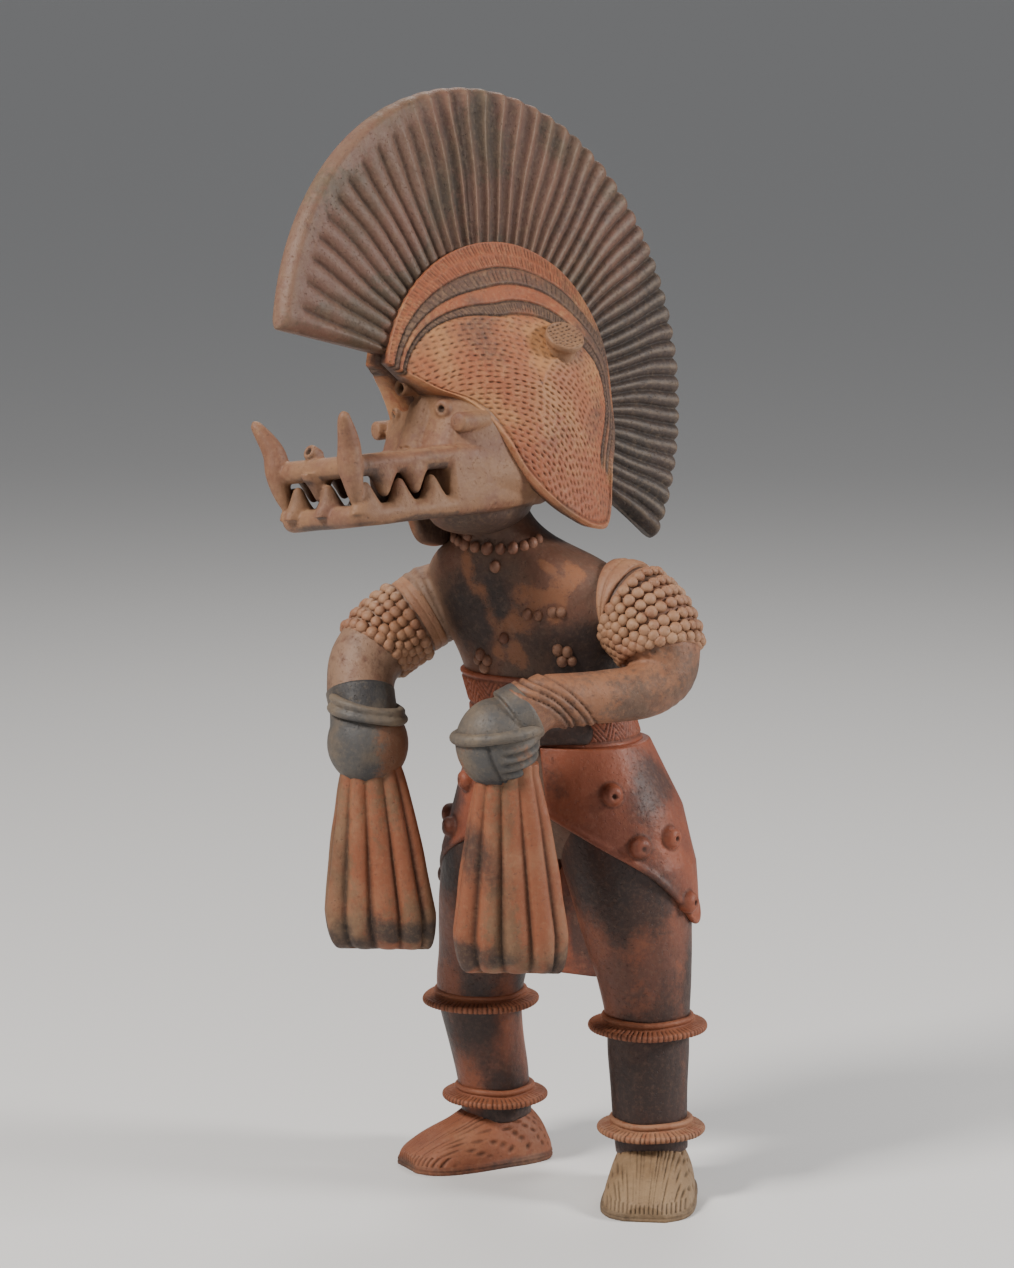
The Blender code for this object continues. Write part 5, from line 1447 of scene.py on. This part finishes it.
def leg_ring_points(stations, height, radius, ring_turn):
    """A thin dished collar with short cuts pressed round its edge, above and below."""
    x, y, girth = between([(z, x, y, r) for x, y, z, r in stations], height)
    columns, turns = 480, turns_of(480)
    count = int(round(2 * pi * radius / 2.9))
    spot = turns / (2 * pi) * count
    row = np.floor(spot) % count
    off = (spot - np.floor(spot) - 0.5 + 0.3 * (scatter(row, ring_turn, 1.0) - 0.5)) * 2.9
    cut = np.exp(-(off / 0.5) ** 2) * (0.6 + 0.4 * scatter(row, 2.0, ring_turn))
    inner = girth - 3
    profile = [(inner, -5.2, 0.0)]
    for t in np.linspace(0.30, 1.0, 12):
        profile.append((inner + (radius - girth + 2.0) * t, -2.6 + 0.7 * t, t))
    for a in np.linspace(-pi / 2, pi / 2, 9)[1:-1]:
        profile.append((radius - 1.0 + 1.5 * cos(a), -0.1 + 1.9 * sin(a), 1.02))
    for t in np.linspace(1.0, 0.42, 12):
        profile.append((inner + (radius - girth + 2.0) * t, 1.8 + 2.6 * (1 - t), t))
    # a small cord where the collar meets the leg
    cord = girth + 1.1
    for a in np.linspace(-0.9, pi / 2 + 0.7, 9):
        profile.append((cord + 1.7 * cos(a), 5.2 + 1.8 * sin(a), 0.2))
    profile.append((inner, 7.0, 0.0))
    rings, sunk = [], []
    for r, rise, t in profile:
        mark = cut * soft_step(0.52, 0.62, t) * (1.0 if t < 0.92 or t > 1.01 else 0.35)
        lift = 0.8 * mark * (1 if rise > 0 else -1) * (t <= 1.01)
        waver = 0.5 * np.sin(turns * 3 + ring_turn) + 0.3 * np.sin(turns * 5 + 2 * ring_turn)
        rr = r - 0.9 * mark * (t > 1.01) + 0.3 * waver * t
        rings.append(np.stack((x + rr * np.cos(turns), y + rr * np.sin(turns),
                               height + rise - lift + 0.5 * waver), axis=1))
        sunk.append(mark)
    return rings, sunk


def leg_rings():
    for side, stations in (("right", RIGHT_LEG), ("left", LEFT_LEG)):
        clay, sunk = Clay(), []
        for k, (height, radius) in enumerate((KNEE_RING, ANKLE_RING)):
            rings, marks = leg_ring_points(stations, height, radius, k + (2.0 if side == "left" else 0.0))
            clay.loft(rings)
            sunk.append(np.concatenate((np.array(marks).ravel(), (0.0, 0.0))))
        mesh = outward(clay.mesh(side + "_leg_rings"))
        points, _ = mesh_places(mesh)
        # painted shade in the pressed cuts through hollow
        add_field(mesh, "hollow", np.concatenate(sunk))
        pale_ankle = (points[:, 2] < 60) * (side == "left")
        add_field(mesh, "proud", np.clip(0.85 * pale_ankle, 0, 1))
        stand(side + "_leg_rings", mesh, SHOE_CLAY, 0.5)


def shoe(name, stations, turn, finish):
    ankle = np.array((stations[-1][0], stations[-1][1], 0.0))
    along = np.array((sin(turn), -cos(turn), 0.0))
    across = np.array((cos(turn), sin(turn), 0.0))
    table = np.array(FOOT_STATIONS)
    ahead_at = np.linspace(table[0, 0], table[-1, 0], 60)
    smooth = flowing([(a, h, t) for a, h, t in FOOT_STATIONS], 90)
    order = np.argsort(smooth[:, 0])
    half_at = np.interp(ahead_at, smooth[order, 0], smooth[order, 1])
    tall_at = np.interp(ahead_at, smooth[order, 0], smooth[order, 2])
    rings = []
    for ahead, half, tall in zip(ahead_at, half_at, tall_at):
        ring = [(half + 1.2, 0.0), (half + 1.6, 1.0), (half + 1.6, 3.0), (half + 0.6, 3.8), (half, 4.6)]
        ring += [(half * cos(a), 3.6 + (tall - 3.6) * sin(a)) for a in np.linspace(0.12, pi - 0.12, 40)]
        ring += [(-half, 4.6), (-half - 0.6, 3.8), (-half - 1.6, 3.0), (-half - 1.6, 1.0), (-half - 1.2, 0.0)]
        rings.append([ankle + along * ahead + across * w + np.array((0, 0, z)) for w, z in ring])
    clay = Clay()
    clay.loft(rings)
    mesh = melt(outward(clay.mesh(name)), 0.62, 2)
    points, normals = mesh_places(mesh)
    away = points - ankle
    f, w, z = away @ along, away @ across, away[:, 2]
    level = 0.8 * z + 0.45 * f
    around = np.arctan2(w, 30.0 - 0.2 * f) * 38.0
    top = soft_step(6.0, 9.0, z)
    punched = dashes(level, around, (4.7, 2.7), (3.1, 0.95), turn) * top
    edge = soft_step(34.0, 42.0, f) * (z > 4.6) * (z < 9.5)
    strokes = np.exp(-((np.abs((w / 2.4) % 1.0 - 0.5) - 0.5) / 0.16) ** 2) * edge
    layer = np.exp(-((z - 2.2) / 0.45) ** 2) * (normals[:, 2] < 0.6)
    hollow = np.maximum(np.maximum(punched * (1 - edge), strokes), 0.5 * layer)
    moved = points + normals * (0.35 * drift(points, 9.0) - 0.95 * hollow)[:, None]
    moved[:, 2] = np.maximum(moved[:, 2], 0.0)
    flat = points[:, 2] < 0.9
    moved[flat, 2] = 0.0
    move_points(mesh, moved)
    # painted shade in the punched dashes, edge strokes, layer line and the step above the sole through hollow
    add_field(mesh, "hollow", np.clip(hollow * 0.85 + 0.4 * soft_step(5.2, 3.8, z) * soft_step(2.6, 3.8, z),
                                      0, 1))
    add_field(mesh, "cloud", np.clip(0.35 * soft_step(8.0, 2.0, z) + 0.2 * drift(points, 15.0), 0, 1))
    add_field(mesh, "proud", np.clip(0.4 * drift(points, 11.0), 0, 1))
    stand(name, mesh, finish, 0.5)


# ---- Clays, each as ground, warm patch, dark colour for smoke and painted shade, and pale colour for wear and painted highlight
CREST_CLAY = clay_finish("crest clay", (0.075, 0.049, 0.031), (0.115, 0.058, 0.037), (0.027, 0.021, 0.019),
                         (0.24, 0.165, 0.10), patch=30.0, gloss=0.48, worn=0.24, darkening=0.05, wash=(0.13,
                                                                                                   0.062,
                                                                                                   0.042))
HOOD_CLAY = clay_finish("hood clay", (0.33, 0.150, 0.062), (0.27, 0.092, 0.040), (0.060, 0.040, 0.032),
                        (0.44, 0.255, 0.130), patch=34.0, gloss=0.50, worn=0.30, darkening=0.0, wash=(0.235,
                                                                                                  0.068,
                                                                                                  0.030))
MASK_CLAY = clay_finish("mask clay", (0.195, 0.100, 0.052), (0.150, 0.068, 0.042), (0.048, 0.031, 0.026),
                        (0.34, 0.205, 0.115), patch=34.0, gloss=0.50, worn=0.30, darkening=0.02, wash=(0.150,
                                                                                                   0.064,
                                                                                                   0.036))
BODY_CLAY = clay_finish("body clay", (0.088, 0.048, 0.032), (0.130, 0.054, 0.032), (0.022, 0.016, 0.015),
                        (0.235, 0.140, 0.088), patch=26.0, gloss=0.46, worn=0.28, darkening=0.10, wash=(0.225,
                                                                                                    0.090,
                                                                                                    0.042))
HAND_CLAY = clay_finish("hand clay", (0.058, 0.055, 0.053), (0.112, 0.084, 0.060), (0.024, 0.024, 0.027),
                        (0.21, 0.155, 0.10), patch=30.0, gloss=0.47, worn=0.22, darkening=0.05, wash=(0.16,
                                                                                                  0.068,
                                                                                                  0.034))
BEAD_CLAY = clay_finish("bead clay", (0.250, 0.118, 0.060), (0.205, 0.084, 0.045), (0.045, 0.027, 0.020),
                        (0.36, 0.22, 0.13), patch=34.0, gloss=0.48, worn=0.24, darkening=-0.05)
CHEST_BEAD_CLAY = clay_finish("chest bead clay", (0.150, 0.060, 0.035), (0.120, 0.050, 0.030),
                              (0.028, 0.018, 0.015),
                              (0.28, 0.15, 0.09), patch=40.0, gloss=0.46, worn=0.24, darkening=0.05)
SKIRT_CLAY = clay_finish("skirt clay", (0.215, 0.056, 0.025), (0.155, 0.043, 0.023), (0.034, 0.019, 0.016),
                         (0.30, 0.135, 0.075), patch=30.0, gloss=0.42, worn=0.20, darkening=0.10)
LEG_CLAY = clay_finish("leg clay", (0.095, 0.034, 0.021), (0.145, 0.046, 0.025), (0.016, 0.011, 0.010),
                       (0.19, 0.10, 0.062), patch=26.0, gloss=0.38, worn=0.18, darkening=0.08, wash=(0.185,
                                                                                                 0.056,
                                                                                                 0.026))
POUCH_CLAY = clay_finish("pouch clay", (0.135, 0.070, 0.036), (0.175, 0.060, 0.028), (0.030, 0.021, 0.017),
                         (0.28, 0.165, 0.09), patch=32.0, gloss=0.45, worn=0.26, darkening=0.05, wash=(0.210,
                                                                                                   0.066,
                                                                                                   0.029))
SHOE_CLAY = clay_finish("shoe clay", (0.215, 0.070, 0.031), (0.180, 0.056, 0.026), (0.038, 0.021, 0.016),
                        (0.30, 0.155, 0.085), patch=32.0, gloss=0.50, worn=0.22, darkening=0.0)
PALE_SHOE_CLAY = clay_finish("pale shoe clay", (0.170, 0.102, 0.052), (0.225, 0.142, 0.076),
                             (0.048, 0.031, 0.021),
                             (0.36, 0.25, 0.14), patch=32.0, gloss=0.50, worn=0.34, darkening=0.0)

crest()
hood(1, "hood_left", 600, 120)
hood(-1, "hood_right", 360, 72)
ear_plugs()
mask()
torso()
hands()
wrist_rolls()
armlet_bands()
pellets()
belt()
strap()
skirt()
loin_panel()
pouch("right_pouch", RIGHT_POUCH)
pouch("left_pouch", LEFT_POUCH)
legs()
leg_rings()
shoe("right_shoe", RIGHT_LEG, RIGHT_FOOT_TURN, SHOE_CLAY)
shoe("left_shoe", LEFT_LEG, LEFT_FOOT_TURN, PALE_SHOE_CLAY)


# ---- Studio
CAMERA_TARGET = np.array((-33.5, -17.8, 307.0))
CAMERA_TURN = radians(28.0)
CAMERA_RISE = radians(9.5)
CAMERA_AWAY = 2400.0
LENS = 123.9


def studio():
    floor_mesh = bpy.data.meshes.new("floor")
    reach = 40.0
    floor_mesh.from_pydata([(-reach, -reach, 0), (reach, -reach, 0), (reach, reach, 0), (-reach, reach, 0)],
                           [], [(0, 1, 2, 3)])
    floor = bpy.data.objects.new("floor", floor_mesh)
    bpy.context.scene.collection.objects.link(floor)
    pale = bpy.data.materials.new("pale floor")
    pale.use_nodes = True
    pale.node_tree.nodes["Principled BSDF"].inputs["Base Color"].default_value = (0.62, 0.61, 0.60, 1.0)
    pale.node_tree.nodes["Principled BSDF"].inputs["Roughness"].default_value = 0.7
    floor_mesh.materials.append(pale)

    world = bpy.data.worlds.new("studio")
    world.use_nodes = True
    world.node_tree.nodes["Background"].inputs["Color"].default_value = (0.80, 0.82, 0.85, 1.0)
    world.node_tree.nodes["Background"].inputs["Strength"].default_value = 0.30
    bpy.context.scene.world = world

    def away_from(turn, rise, far):
        return np.array((sin(turn) * cos(rise), -cos(turn) * cos(rise), sin(rise))) * far

    middle = (CAMERA_TARGET - BOX_CENTRE) * MM

    def lamp(name, turn, rise, far, size, power, colour):
        light = bpy.data.lights.new(name, "AREA")
        light.shape = "DISK"
        light.size = size
        light.energy = power
        light.color = colour
        body = bpy.data.objects.new(name, light)
        place = middle + away_from(radians(turn), radians(rise), far)
        body.location = place
        body.rotation_euler = look(place, middle)
        bpy.context.scene.collection.objects.link(body)

    lamp("key", -26.0, 42.0, 1.9, 0.50, 52.0, (1.0, 0.96, 0.91))
    lamp("rim", 108.0, 22.0, 1.7, 0.45, 30.0, (1.0, 0.98, 0.96))
    lamp("fill", 40.0, 20.0, 2.6, 1.4, 8.0, (0.93, 0.96, 1.0))
    lamp("back", 205.0, 45.0, 2.0, 0.8, 14.0, (1.0, 0.98, 0.95))

    camera = bpy.data.cameras.new("camera")
    camera.sensor_fit = "VERTICAL"
    camera.sensor_height = 36.0
    camera.sensor_width = 36.0
    camera.lens = LENS
    camera.clip_end = 50.0
    eye = bpy.data.objects.new("camera", camera)
    place = middle + away_from(CAMERA_TURN, CAMERA_RISE, CAMERA_AWAY * MM)
    eye.location = place
    eye.rotation_euler = look(place, middle)
    bpy.context.scene.collection.objects.link(eye)
    bpy.context.scene.camera = eye


def look(place, target):
    return Vector(target - place).to_track_quat("-Z", "Y").to_euler()


studio()
